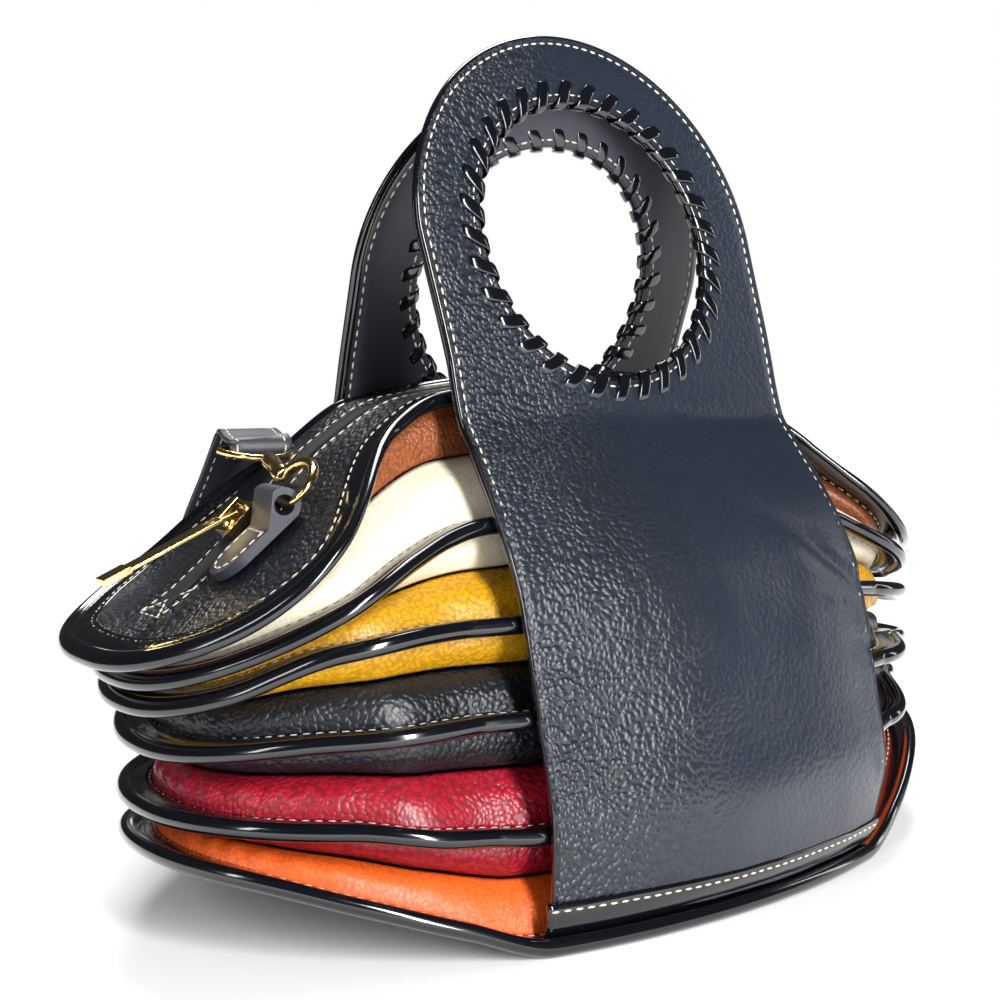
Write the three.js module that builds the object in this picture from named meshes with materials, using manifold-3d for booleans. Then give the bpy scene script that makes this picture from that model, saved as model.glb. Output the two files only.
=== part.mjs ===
// Accordion handbag in leather: six bound leaves fanned between two tall panels with laced hand holes.
// Millimetres, +Z up, X along the bag, the front panel at -Y. The origin is on the floor at the middle.
import * as THREE from "three";
import { mergeVertices } from "three/addons/utils/BufferGeometryUtils.js";
import Module from "manifold-3d";

const wasm = await Module();
wasm.setup();

// Body
const bodyHeight = 160;
const halfLength = 170;
const baseHalfDepth = 92;
const baseTurn = 4;
const topRoll = 10;
const leatherWall = 1.5;
const boardWall = 2.4;
const seamGap = 0.3;
const valleyDepthSide = 18;
const valleyDepthEnd = 16;
const loopStations = 28;

// Binding round each leaf
const beadRadius = 2.6;
const stripWidth = 6.5;
const stripWall = 2;

// Front and back panels
const panelHalfWidth = 68.5;
const panelWall = 2.6;
const panelBelly = 84;
const panelFoot = 2 * beadRadius + 1;
const frontRing = { side: -1, height: 203, shift: -3, twist: 2.2 };
const backRing = { side: 1, height: 192, shift: 1.6, twist: -3 };
const ringRadius = 70;
const handHoleRadius = 46;
const liningWall = 1;

// Lacing round the hand holes
const laceCount = 33;
const laceRadius = 53.4;
const laceWidth = 3;
const laceWall = 1.2;

// Zip along the top leaf
const zipLength = 290;
const zipSlot = 8;
const zipWall = 2;
const sliderPlace = -119;
const sliderLength = 12;
const sliderWidth = 9;
const sliderWall = 3;
const pullLength = 44;
const pullWidth = 7;
const pullWall = 2.2;
const pullLean = 24;
const bridgeHeight = 4;
const bridgeWall = 1.3;

// Tabs, clasps and strap
const tabWidth = 18.5;
const tabWall = 2;
const tabLength = 27;
const loopRadius = 3;
const hookReach = 11.6;
const hookRise = 8;
const hookWire = 1.8;
const barrelRadius = 3.3;
const barrelLength = 21.5;
const ringWire = 1.2;
const ringLength = 17;
const strapWidth = 20;
const strapWall = 1.8;

// How far out, how crowned and how turned a panel is, as shares of the belly, the crown and the two turns
const panelCrown = 9;
const panelRows = [
  { up: 0.027, out: 0.94, crown: 1, turn: 1, twist: 0 },
  { up: 0.08, out: 0.975, crown: 1, turn: 0.75, twist: 0 },
  { up: 0.17, out: 0.995, crown: 1, turn: 0.35, twist: 0 },
  { up: 0.27, out: 0.945, crown: 0.95, turn: 0.25, twist: 0 },
  { up: 0.37, out: 0.895, crown: 0.85, turn: 0.1, twist: 0 },
  { up: 0.47, out: 0.83, crown: 0.7, turn: 0, twist: 0 },
  { up: 0.57, out: 0.7, crown: 0.5, turn: 0, twist: 0.3 },
  { up: 0.67, out: 0.525, crown: 0.2, turn: 0, twist: 0.8 },
  { up: 0.72, out: 0.434, crown: 0, turn: 0, twist: 1 },
  { up: 0.87, out: 0.334, crown: 0, turn: 0, twist: 1 },
  { up: 1, out: 0.247, crown: 0, turn: 0, twist: 1 },
  { up: 1.2, out: 0.115, crown: 0, turn: 0, twist: 1 },
  { up: 1.4, out: -0.017, crown: 0, turn: 0, twist: 1 },
];

// Each leaf's edge, top to bottom: heights over the base's as shares of the body height at these shares along,
// reach as a share of the half length, depth as a share of the base's (its own at the near right), and how
// square its two ends are
const alongShares = [0, 0.4, 0.55, 0.7, 0.85, 1];
const leaves = [
  {
    left: [0.974, 0.934, 0.85, 0.696, 0.564, 0.484],
    right: [0.974, 0.89, 0.756, 0.634, 0.578, 0.534],
    reach: [1, 0.955],
    depth: 0.89,
    nearRight: 0.65,
    square: [2.6, 2],
    turn: 0,
    flare: [0.5, 0.84],
  },
  {
    left: [0.728, 0.709, 0.659, 0.578, 0.49, 0.421],
    right: [0.728, 0.69, 0.628, 0.565, 0.515, 0.465],
    reach: [0.95, 0.9],
    depth: 0.85,
    nearRight: 0.62,
    square: [2.4, 2],
    turn: 0,
    flare: [0.5, 0.85],
  },
  {
    left: [0.5465, 0.54, 0.537, 0.515, 0.437, 0.371],
    right: [0.5465, 0.54, 0.525, 0.4965, 0.465, 0.421],
    reach: [0.94, 0.945],
    depth: 0.91,
    nearRight: 0.66,
    square: [2.3, 2],
    turn: 0,
    flare: [0.49, 0.8],
  },
  {
    left: [0.384, 0.378, 0.376, 0.365, 0.336, 0.284],
    right: [0.378, 0.384, 0.39, 0.384, 0.365, 0.34],
    reach: [0.91, 0.93],
    depth: 0.95,
    nearRight: 0.7,
    square: [2.3, 2],
    turn: 0,
    flare: [0.49, 0.76],
  },
  {
    left: [0.184, 0.184, 0.199, 0.219, 0.219, 0.209],
    right: [0.199, 0.2465, 0.274, 0.2965, 0.284, 0.265],
    reach: [0.92, 0.9],
    depth: 0.98,
    nearRight: 0.78,
    square: [2.2, 2],
    turn: 0.5,
    flare: [0.49, 0.72],
  },
  {
    left: [0, 0, 0.049, 0.1, 0.144, 0.167],
    right: [0, 0, 0.054, 0.125, 0.174, 0.199],
    reach: [0.933, 0.935],
    depth: 1,
    nearRight: 1,
    square: [2.1, 2],
    turn: 1,
    flare: [-1, 0],
  },
];

// The strap's run down the back, along the floor behind the bag and up again, as shares of the half length,
// the base's half depth and the body height, with how far its width has turned from along X to along Y
const strapRun = [
  { along: -0.58, out: 0.43, up: 0.878, turned: 0 },
  { along: -0.585, out: 0.48, up: 0.84, turned: 0 },
  { along: -0.59, out: 0.545, up: 0.785, turned: 0 },
  { along: -0.595, out: 0.61, up: 0.735, turned: 0 },
  { along: -0.6, out: 0.675, up: 0.68, turned: 0 },
  { along: -0.605, out: 0.8, up: 0.56, turned: 0.05 },
  { along: -0.62, out: 0.9, up: 0.4, turned: 0.3 },
  { along: -0.63, out: 0.99, up: 0.2, turned: 0.7 },
  { along: -0.6, out: 1.08, up: 0.06, turned: 1 },
  { along: -0.5, out: 1.12, up: 0.004, turned: 1 },
  { along: -0.2, out: 1.13, up: 0, turned: 1 },
  { along: 0.2, out: 1.13, up: 0, turned: 1 },
  { along: 0.5, out: 1.13, up: 0.01, turned: 1 },
  { along: 0.61, out: 1.1, up: 0.06, turned: 1 },
  { along: 0.65, out: 1.02, up: 0.2, turned: 0.7 },
  { along: 0.65, out: 0.95, up: 0.38, turned: 0.3 },
  { along: 0.63, out: 0.87, up: 0.55, turned: 0.05 },
];

// How far the back edge of the top leaf hangs below its front edge on the left, at the same shares of the length
const rollShares = [0, 0.25, 0.85, 1, 0.3, 0];

const rad = THREE.MathUtils.degToRad;
const clamp = THREE.MathUtils.clamp;
const ease = (share) => THREE.MathUtils.smoothstep(share, 0, 1);
const vec = (x, y, z) => new THREE.Vector3(x, y, z);

// A smooth curve through a table, flat where the table turns back
function curveAt(xs, ys, x) {
  const at = clamp(x, xs[0], xs[xs.length - 1]);
  let i = 0;
  while (i < xs.length - 2 && at > xs[i + 1]) i++;
  const slope = (j) => (ys[j + 1] - ys[j]) / (xs[j + 1] - xs[j]);
  const tangent = (j) => {
    if (j === 0) return slope(0);
    if (j === xs.length - 1) return slope(j - 1);
    const before = slope(j - 1);
    const after = slope(j);
    return before * after <= 0 ? 0 : (2 * before * after) / (before + after);
  };
  const step = xs[i + 1] - xs[i];
  const t = (at - xs[i]) / step;
  const rise = (1 + 2 * t) * (1 - t) ** 2 * ys[i] + t * t * (3 - 2 * t) * ys[i + 1];
  return rise + step * t * (1 - t) * ((1 - t) * tangent(i) - t * tangent(i + 1));
}

// The same surface with its faces pointing out
function outward(geometry) {
  const p = geometry.getAttribute("position");
  const index = geometry.index.array;
  const corner = (i) => vec(p.getX(index[i]), p.getY(index[i]), p.getZ(index[i]));
  let volume = 0;
  for (let i = 0; i < index.length; i += 3)
    volume += corner(i).dot(corner(i + 1).cross(corner(i + 2)));
  if (volume < 0)
    for (let i = 0; i < index.length; i += 3)
      [index[i + 1], index[i + 2]] = [index[i + 2], index[i + 1]];
  return geometry;
}

// A solid through sections of points, closed into a ring or with flat ends
function loft(sections, closed) {
  const size = sections[0].length;
  const faces = [];
  const quad = (a, b, c, d) => faces.push(a, b, c, a, c, d);
  const last = closed ? sections.length : sections.length - 1;
  for (let i = 0; i < last; i++)
    for (let j = 0; j < size; j++) {
      const next = (i + 1) % sections.length;
      const k = (j + 1) % size;
      quad(i * size + j, next * size + j, next * size + k, i * size + k);
    }
  if (!closed)
    for (let j = 0; j < size / 2 - 1; j++) {
      const far = (sections.length - 1) * size;
      quad(j, j + 1, size - 2 - j, size - 1 - j);
      quad(far + j, far + size - 1 - j, far + size - 2 - j, far + j + 1);
    }
  const points = sections.flat().flatMap((p) => p.toArray());
  const geometry = new THREE.BufferGeometry();
  geometry.setAttribute("position", new THREE.Float32BufferAttribute(points, 3));
  geometry.setIndex(faces);
  return outward(geometry);
}

// A round wire along a curve, its radius given at each share of the way
function wire(curve, steps, sides, radiusAt, closed = false) {
  const sections = [];
  const count = closed ? steps : steps + 1;
  const frames = curve.computeFrenetFrames(steps, closed);
  for (let i = 0; i < count; i++) {
    const centre = curve.getPointAt(i / steps);
    const section = [];
    for (let j = 0; j < sides; j++) {
      const a = (2 * Math.PI * (j + 0.5)) / sides;
      section.push(
        centre
          .clone()
          .addScaledVector(frames.normals[i], radiusAt(i / steps) * Math.cos(a))
          .addScaledVector(frames.binormals[i], radiusAt(i / steps) * Math.sin(a)),
      );
    }
    sections.push(section);
  }
  return loft(sections, closed);
}

function toSolid(geometry) {
  const plain = geometry.clone();
  plain.deleteAttribute("normal");
  plain.deleteAttribute("uv");
  const merged = mergeVertices(plain, 1e-4);
  return new wasm.Manifold(
    new wasm.Mesh({
      numProp: 3,
      vertProperties: merged.getAttribute("position").array,
      triVerts: new Uint32Array(merged.index.array),
    }),
  );
}

function toGeometry(solid) {
  const mesh = solid.getMesh();
  const geometry = new THREE.BufferGeometry();
  geometry.setAttribute("position", new THREE.BufferAttribute(mesh.vertProperties, 3));
  return geometry.setIndex(new THREE.BufferAttribute(mesh.triVerts, 1));
}

// Where a panel's middle surface stands at x and z
function panelY(ring, x, z) {
  const read = (key) =>
    curveAt(
      panelRows.map((row) => row.up),
      panelRows.map((row) => row[key]),
      z / ring.height,
    );
  const crowned = panelCrown * read("crown") * (1 - (x / panelHalfWidth) ** 2);
  const turned = rad(baseTurn * read("turn") + ring.twist * read("twist"));
  return ring.side * (panelBelly * read("out") + crowned) + x * Math.tan(turned);
}

// A point of a panel, lifted off its middle surface towards the outside
function panelPoint(ring, x, z, lift) {
  const step = 0.5;
  const y = panelY(ring, x, z);
  const alongX = vec(2 * step, panelY(ring, x + step, z) - panelY(ring, x - step, z), 0);
  const alongZ = vec(0, panelY(ring, x, z + step) - panelY(ring, x, z - step), 2 * step);
  const out = alongX.cross(alongZ).normalize();
  if (out.y * ring.side < 0) out.negate();
  return vec(x, y, z).addScaledVector(out, lift);
}

// How far a circle in the ring's leaning plane shrinks when seen level
function ringLean(ring) {
  const rise = ring.height * 0.2;
  const back = panelY(ring, ring.shift, ring.height + rise) - panelY(ring, ring.shift, ring.height);
  return Math.cos(Math.atan2(back, rise));
}

// Height of a leaf's edge at x, on the front (-1) to the back (1)
function edgeHeight(index, x, across) {
  const leaf = leaves[index];
  const xs = [...alongShares.map((share) => -share).reverse(), ...alongShares.slice(1)];
  const ys = [...leaf.left.slice().reverse(), ...leaf.right.slice(1)];
  const rolled = index === 0 && x < 0 ? topRoll * ease(across) : 0;
  const roll = rolled * curveAt(alongShares, rollShares, -x / halfLength);
  return beadRadius + bodyHeight * curveAt(xs, ys, x / halfLength) - roll;
}

// From the front side (-1) to the back side (1) of a leaf
const acrossAt = (angle) => Math.sign(Math.sin(angle)) * ease(Math.abs(Math.sin(angle)) * 2);

// A point of a leaf's bound edge, at an angle round the bag
function edgePoint(index, angle) {
  const leaf = leaves[index];
  const c = Math.cos(angle);
  const s = Math.sin(angle);
  const side = s < 0 ? -1 : 1;
  const end = c < 0 ? 0 : 1;
  const depth = side < 0 && end === 1 ? leaf.nearRight : leaf.depth;
  const x = halfLength * leaf.reach[end] * Math.sign(c) * Math.abs(c) ** (2 / leaf.square[end]);
  const z = edgeHeight(index, x, acrossAt(angle));
  const free =
    side * baseHalfDepth * depth * Math.abs(s) ** (2 / leaf.square[end]) +
    x * Math.tan(rad(baseTurn * leaf.turn));
  const ring = side < 0 ? frontRing : backRing;
  const clear = panelWall / 2 + 4 * seamGap + (index === 0 ? liningWall + 5 * seamGap : 0);
  const past = 1.2 * panelHalfWidth;
  const heldAt = (up) => panelPoint(ring, clamp(x, -past, past), z + up, -clear).y;
  const held = side * Math.min(side * heldAt(beadRadius), side * heldAt(-beadRadius));
  const flared = ease((Math.abs(x) / halfLength - leaf.flare[0]) / (leaf.flare[1] - leaf.flare[0]));
  return vec(x, THREE.MathUtils.lerp(held, free, flared), z);
}

const angleAt = (i) => (2 * Math.PI * i) / loopStations;

// The level direction out of the bag at a point of an edge
function edgeOut(index, angle) {
  const step = 0.01;
  const along = edgePoint(index, angle + step).sub(edgePoint(index, angle - step));
  return vec(along.y, -along.x, 0).normalize();
}

// A point inside a leaf's edge, across its plane and up from it
function insideEdge(index, angle, inset, up) {
  const p = edgePoint(index, angle).addScaledVector(edgeOut(index, angle), -inset);
  return vec(p.x, p.y, edgeHeight(index, p.x, acrossAt(angle)) + up);
}

// The sewn valley between a leaf and the next one down
function valleyPoint(index, angle, up, inward = 0) {
  const p = edgePoint(index, angle).add(edgePoint(index + 1, angle)).multiplyScalar(0.5);
  const out = edgeOut(index, angle).add(edgeOut(index + 1, angle)).normalize();
  p.addScaledVector(out, -inward - THREE.MathUtils.lerp(valleyDepthEnd, valleyDepthSide, Math.abs(Math.sin(angle))));
  const across = acrossAt(angle);
  const z = (edgeHeight(index, p.x, across) + edgeHeight(index + 1, p.x, across)) / 2;
  return vec(p.x, p.y, z + up);
}

function aroundLeaf(section) {
  const sections = [];
  for (let i = 0; i < loopStations; i++) sections.push(section(angleAt(i)));
  return loft(sections, true);
}

const stripEnd = 2 * beadRadius + stripWidth;
const leafStart = stripEnd + seamGap;

// A round bead with the flat strip that grips the leaf behind it
function bindingGeometry(index) {
  const bead = (degrees) => [beadRadius * (1 - Math.cos(rad(degrees))), beadRadius * Math.sin(rad(degrees))];
  const profile = [
    bead(-30),
    bead(30),
    bead(95),
    [stripEnd, stripWall / 2],
    [stripEnd, -stripWall / 2],
    bead(-95),
  ];
  return aroundLeaf((angle) => profile.map(([inset, up]) => insideEdge(index, angle, inset, up)));
}

// A folded leaf: its upper face runs in to the valley above, its lower face to the valley below
function foldGeometry(index) {
  return aroundLeaf((angle) => [
    insideEdge(index, angle, leafStart, leatherWall),
    valleyPoint(index - 1, angle, -seamGap / 2),
    valleyPoint(index - 1, angle, -seamGap / 2 - leatherWall, leatherWall),
    insideEdge(index, angle, leafStart + 2 * leatherWall, 0),
    valleyPoint(index, angle, seamGap / 2 + leatherWall, leatherWall),
    valleyPoint(index, angle, seamGap / 2),
    insideEdge(index, angle, leafStart, -leatherWall),
  ]);
}

// A single face between the top or bottom leaf and the valley next to it
function facingGeometry(index, valley, up) {
  const off = up * (boardWall / 2 + 4 * seamGap);
  return aroundLeaf((angle) => [
    insideEdge(index, angle, leafStart + leatherWall, off),
    valleyPoint(valley, angle, (-up * seamGap) / 2),
    valleyPoint(valley, angle, -up * (seamGap / 2 + leatherWall), 3 * leatherWall),
    insideEdge(index, angle, leafStart + 3 * leatherWall, off),
  ]);
}

// A leaf spread flat between the two sides of its binding
function leafGeometry(index, above, below) {
  const sections = [];
  const middle = 12;
  for (let i = 1; i < loopStations / 2; i++) {
    const back = insideEdge(index, angleAt(i), leafStart, 0);
    const front = insideEdge(index, -angleAt(i), leafStart, 0);
    const between = (y) => {
      const share = (y - front.y) / (back.y - front.y);
      return front.clone().lerp(back, clamp(share, 0.3, 0.7));
    };
    const row = [front, between(-middle), between(middle), back];
    const top = row.map((p) => vec(p.x, p.y, p.z + above));
    const bottom = row.map((p) => vec(p.x, p.y, p.z - below)).reverse();
    sections.push([...top, ...bottom]);
  }
  return loft(sections, false);
}

// Height of the top leaf's upper face at a place
function topHeight(x, y) {
  const across = clamp(y / (baseHalfDepth / 2), -1, 1);
  return edgeHeight(0, x, across) + boardWall / 2;
}

// An outline drawn level, pulled through the whole bag on one side of it
function drawnThrough(shape, side) {
  const deep = 2 * baseHalfDepth;
  const geometry = new THREE.ExtrudeGeometry(shape, { depth: deep, bevelEnabled: false, curveSegments: 14 });
  geometry.rotateX(Math.PI / 2);
  return toSolid(geometry.translate(0, side < 0 ? 0 : deep, 0));
}

// A tall panel's outline from a foot line to the round top, level view
function panelOutline(ring, inset, foot) {
  const lean = ringLean(ring);
  const width = panelHalfWidth - inset;
  const shape = new THREE.Shape();
  const steps = 6;
  shape.moveTo(-width, foot(-width));
  shape.lineTo(ring.shift - ringRadius + inset, ring.height);
  shape.absellipse(ring.shift, ring.height, ringRadius - inset, (ringRadius - inset) * lean, Math.PI, 0, true);
  for (let i = 0; i <= steps; i++) {
    const x = width - (2 * width * i) / steps;
    if (i < steps) shape.lineTo(x, foot(x));
  }
  return shape;
}

function roundHole(ring, radius) {
  const hole = new THREE.Path();
  hole.absellipse(ring.shift, ring.height, radius, radius * ringLean(ring), 0, 2 * Math.PI);
  return hole;
}

function laceHole(ring, angle) {
  const lean = ringLean(ring);
  const deep = laceWall / 2 + 2 * seamGap;
  const wide = laceWidth / 2 + 2 * seamGap;
  const hole = new THREE.Path();
  const corners = [
    [-deep, -wide],
    [deep, -wide],
    [deep, wide],
    [-deep, wide],
  ];
  corners.forEach(([out, along], i) => {
    const r = laceRadius + out;
    const x = ring.shift + r * Math.cos(angle) - along * Math.sin(angle);
    const z = ring.height + (r * Math.sin(angle) + along * Math.cos(angle)) * lean;
    if (i === 0) hole.moveTo(x, z);
    else hole.lineTo(x, z);
  });
  hole.closePath();
  return hole;
}

const laceAngle = (i) => (2 * Math.PI * (i + 0.5)) / laceCount;

// A sheet that follows the panel's curve, wider than the panel itself
function panelSheet(ring, from, to) {
  const ups = [0.01, 0.08, 0.17, 0.27, 0.37, 0.44, 0.51, 0.57, 0.62, 0.67, 0.72, 0.8, 0.87, 1, 1.4];
  const shares = [-1.1, -0.72, -0.36, 0, 0.36, 0.72, 1.1];
  const sections = ups.map((up) => {
    const row = (lift) => shares.map((share) => panelPoint(ring, share * panelHalfWidth, up * ring.height, lift));
    return [...row(to), ...row(from).reverse()];
  });
  return toSolid(loft(sections, false));
}

function panelGeometry(ring) {
  const foot = (x) => edgeHeight(leaves.length - 1, x, 0) - edgeHeight(leaves.length - 1, 0, 0) + panelFoot;
  const shape = panelOutline(ring, 0, foot);
  shape.holes.push(roundHole(ring, handHoleRadius));
  for (let i = 0; i < laceCount; i++) shape.holes.push(laceHole(ring, laceAngle(i)));
  const sheet = panelSheet(ring, -panelWall / 2, panelWall / 2);
  return toGeometry(sheet.intersect(drawnThrough(shape, ring.side)));
}

function liningGeometry(ring) {
  const hole = laceRadius + laceWidth + laceWall;
  const foot = ring.height - (hole + 2 * laceWidth) * ringLean(ring);
  const shape = panelOutline(ring, liningWall, () => foot);
  shape.holes.push(roundHole(ring, hole));
  const near = -panelWall / 2 - 2 * seamGap;
  return toGeometry(panelSheet(ring, near - liningWall, near).intersect(drawnThrough(shape, ring.side)));
}

// One flat thong whipped over the hole's edge, through a hole in the panel at each turn
function lacingGeometry(ring) {
  const lean = ringLean(ring);
  const face = panelWall / 2 + 2.5 * seamGap;
  const edge = handHoleRadius - 3 * seamGap;
  const corners = [
    { outer: [laceRadius + laceWall / 2, face + laceWall], inner: [laceRadius - laceWall / 2, face], turn: 0 },
    { outer: [edge - laceWall, face + laceWall], inner: [edge, face], turn: 0.3 },
    { outer: [edge - laceWall, -face - laceWall], inner: [edge, -face], turn: 0.6 },
    { outer: [laceRadius + laceWall / 2, -face - laceWall], inner: [laceRadius - laceWall / 2, -face], turn: 1 },
  ];
  const place = (angle, [radius, lift], along) => {
    const x = radius * Math.cos(angle) - along * Math.sin(angle);
    const up = radius * Math.sin(angle) + along * Math.cos(angle);
    return panelPoint(ring, ring.shift + x, ring.height + up * lean, lift);
  };
  const sections = [];
  for (let i = 0; i < laceCount; i++)
    for (const corner of corners) {
      const angle = laceAngle(i + corner.turn);
      const half = laceWidth / 2;
      sections.push([
        place(angle, corner.outer, -half),
        place(angle, corner.outer, half),
        place(angle, corner.inner, half),
        place(angle, corner.inner, -half),
      ]);
    }
  return loft(sections, true);
}

// The top leaf with its slot for the zip
function topGeometry() {
  const slot = new THREE.BoxGeometry(zipLength, zipSlot, 4 * bodyHeight);
  return toGeometry(toSolid(leafGeometry(0, boardWall / 2, boardWall / 2)).subtract(toSolid(slot)));
}

function zipGeometry() {
  const steps = 18;
  const half = zipSlot / 2 - seamGap;
  const sections = [];
  for (let i = 0; i <= steps; i++) {
    const x = (zipLength / 2 - seamGap) * ((2 * i) / steps - 1);
    const z = topHeight(x, 0) - boardWall / 2;
    const up = zipWall / 2;
    sections.push([vec(x, -half, z + up), vec(x, half, z + up), vec(x, half, z - up), vec(x, -half, z - up)]);
  }
  return loft(sections, false);
}

// A plate with a low arch over it, the pull's crossbar under the arch
function sliderGeometry() {
  const plate = new THREE.BoxGeometry(sliderLength, sliderWidth, sliderWall).translate(0, 0, sliderWall / 2);
  const half = sliderLength * 0.36;
  const profile = new THREE.Shape();
  profile.moveTo(-half, 0);
  profile.lineTo(-half, bridgeHeight);
  profile.lineTo(half, bridgeHeight);
  profile.lineTo(half, 0);
  profile.closePath();
  const opening = new THREE.Path();
  opening.moveTo(-half + bridgeWall, 0.2);
  opening.lineTo(half - bridgeWall, 0.2);
  opening.lineTo(half - bridgeWall, bridgeHeight - bridgeWall);
  opening.lineTo(-half + bridgeWall, bridgeHeight - bridgeWall);
  opening.closePath();
  profile.holes.push(opening);
  const arch = new THREE.ExtrudeGeometry(profile, { depth: 2 * bridgeWall, bevelEnabled: false });
  arch.rotateX(Math.PI / 2).translate(0, bridgeWall, sliderWall - 0.2);
  return toGeometry(toSolid(plate).add(toSolid(arch)));
}

// The pull's bar with a window at its pivot end, its crossbar on the local origin, reaching to -X
function pullGeometry() {
  const cross = 1.2;
  const outline = new THREE.Shape();
  const half = pullWidth / 2;
  outline.moveTo(cross / 2, -half);
  outline.lineTo(cross / 2, half);
  outline.lineTo(-pullLength, half);
  outline.lineTo(-pullLength, -half);
  outline.closePath();
  const window = new THREE.Path();
  const windowHalf = bridgeWall + 2 * seamGap;
  window.moveTo(-cross / 2, -windowHalf);
  window.lineTo(-cross / 2, windowHalf);
  window.lineTo(-sliderLength * 0.75, windowHalf);
  window.lineTo(-sliderLength * 0.75, -windowHalf);
  window.closePath();
  outline.holes.push(window);
  const bar = new THREE.ExtrudeGeometry(outline, { depth: cross, bevelEnabled: false });
  bar.translate(0, 0, -cross / 2);
  const block = new THREE.BoxGeometry(pullLength * 0.2, pullWidth, pullWall);
  block.translate(-pullLength * 0.9, 0, 0);
  return toGeometry(toSolid(bar).add(toSolid(block)));
}

// A stitched tab with a round end, folded into a loop at its other end: the loop's middle is the local origin
function tabGeometry() {
  const outer = loopRadius + tabWall;
  const plate = 1.5 * tabWall;
  const side = new THREE.Shape();
  side.moveTo(-tabLength, -outer);
  side.lineTo(0, -outer);
  side.absarc(0, 0, outer, -Math.PI / 2, Math.PI / 2, false);
  side.lineTo(-1.6 * outer, plate - outer);
  side.lineTo(-tabLength, plate - outer);
  side.closePath();
  const tunnel = new THREE.Path();
  tunnel.absarc(0, 0, loopRadius, 0, 2 * Math.PI);
  side.holes.push(tunnel);
  const body = new THREE.ExtrudeGeometry(side, { depth: tabWidth, bevelEnabled: false, curveSegments: 8 });
  body.rotateX(Math.PI / 2).translate(0, tabWidth / 2, 0);
  const top = new THREE.Shape();
  const half = tabWidth / 2;
  top.moveTo(2 * outer, -half);
  top.lineTo(2 * outer, half);
  top.lineTo(half - tabLength, half);
  top.absarc(half - tabLength, 0, half, Math.PI / 2, (3 * Math.PI) / 2, false);
  top.closePath();
  const outline = new THREE.ExtrudeGeometry(top, { depth: 4 * outer, bevelEnabled: false, curveSegments: 8 });
  outline.translate(0, 0, -2 * outer);
  return toGeometry(toSolid(body).intersect(toSolid(outline)));
}

const barrelStart = hookReach - hookWire * 0.5;
const barrelEnd = barrelStart + barrelLength;
const eyeStart = barrelEnd + seamGap;
const eyeBar = eyeStart + ringLength;

function barrelGeometry(sides) {
  const profile = [
    [0, 0],
    [0.65, 0],
    [1, 0.15],
    [0.8, 0.5],
    [1, 0.85],
    [0.7, 1],
    [0, 1],
  ].map(([out, along]) => new THREE.Vector2(out * barrelRadius, along * barrelLength));
  const barrel = new THREE.LatheGeometry(profile, sides);
  return barrel.rotateZ(-Math.PI / 2).translate(barrelStart, 0, 0);
}

// The hook's bow and the barrel behind it, in one casting, along local X with the bow's middle on the origin
function hookGeometry() {
  const bow = new THREE.EllipseCurve(0, 0, hookReach, hookRise, rad(-15), rad(212), false);
  const points = bow.getPoints(14).map((p) => vec(p.x, 0, p.y));
  const taper = (share) => hookWire * (1 - 0.45 * ease((share - 0.6) / 0.4));
  const hook = wire(new THREE.CatmullRomCurve3(points), 14, 6, taper);
  return toGeometry(toSolid(hook).add(toSolid(barrelGeometry(8))));
}

// The spring bar that closes the hook, inside the tab's loop
function gateGeometry() {
  const from = vec(hookReach * -0.72, 0, -hookRise * 0.9);
  const to = vec(hookReach * 0.8, 0, -hookRise * 0.9);
  return wire(new THREE.LineCurve3(from, to), 1, 6, () => hookWire / 2);
}

// The strap's eye: a D of wire, its straight bar across the far end
function eyeGeometry(start = eyeStart) {
  const half = strapWidth / 2 + 3 * ringWire;
  const points = [
    [0, 0],
    [0.3, 0.6],
    [0.8, 0.95],
    [1, 0.8],
    [1, 0],
    [1, -0.8],
    [0.8, -0.95],
    [0.3, -0.6],
  ].map(([along, across]) => vec(start + ringWire + (eyeBar - start - ringWire) * along, half * across, 0));
  const loop = new THREE.CatmullRomCurve3(points, true, "catmullrom", 0.4);
  return wire(loop, 14, 5, () => ringWire, true);
}

// The other end's clasp, shut: a closed bow with its flat side through the tab's loop, the barrel and the eye
function closedClaspGeometry() {
  const points = [
    [-1.05, -0.9],
    [1.05, -0.9],
    [1.15, 0],
    [0.7, 0.9],
    [-0.7, 0.9],
    [-1.15, 0],
  ].map(([along, up]) => vec(along * hookReach, 0, up * hookRise));
  const bow = wire(new THREE.CatmullRomCurve3(points, true, "catmullrom", 0.2), 12, 5, () => ringWire, true);
  const eye = eyeGeometry(barrelEnd - 1.5 * ringWire);
  return toGeometry(toSolid(bow).add(toSolid(barrelGeometry(6))).add(toSolid(eye)));
}

const part = new THREE.Group();

const finish = {
  pebbled: [0x1b1e26, 0.5, 0],
  smooth: [0x23262e, 0.45, 0],
  patent: [0x08090c, 0.15, 0],
  brown: [0x8a4523, 0.5, 0],
  cream: [0xe6dcc0, 0.5, 0],
  yellow: [0xd99a10, 0.5, 0],
  red: [0xb01525, 0.45, 0],
  orange: [0xe85a1c, 0.45, 0],
  gold: [0xe0b45c, 0.2, 1],
  zipper: [0x15161a, 0.6, 0],
};

function named(name, geometry, look, parent = part) {
  const [color, roughness, metalness] = finish[look];
  const mesh = new THREE.Mesh(geometry, new THREE.MeshStandardMaterial({ color, roughness, metalness }));
  mesh.name = name;
  parent.add(mesh);
  return mesh;
}

// Sets a piece at a point, its local X along one direction and its local Z as near another as it can be
function place(mesh, origin, along, up) {
  const x = along.clone().normalize();
  const y = up.clone().cross(x).normalize();
  mesh.quaternion.setFromRotationMatrix(new THREE.Matrix4().makeBasis(x, y, x.clone().cross(y)));
  mesh.position.copy(origin);
}

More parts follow.
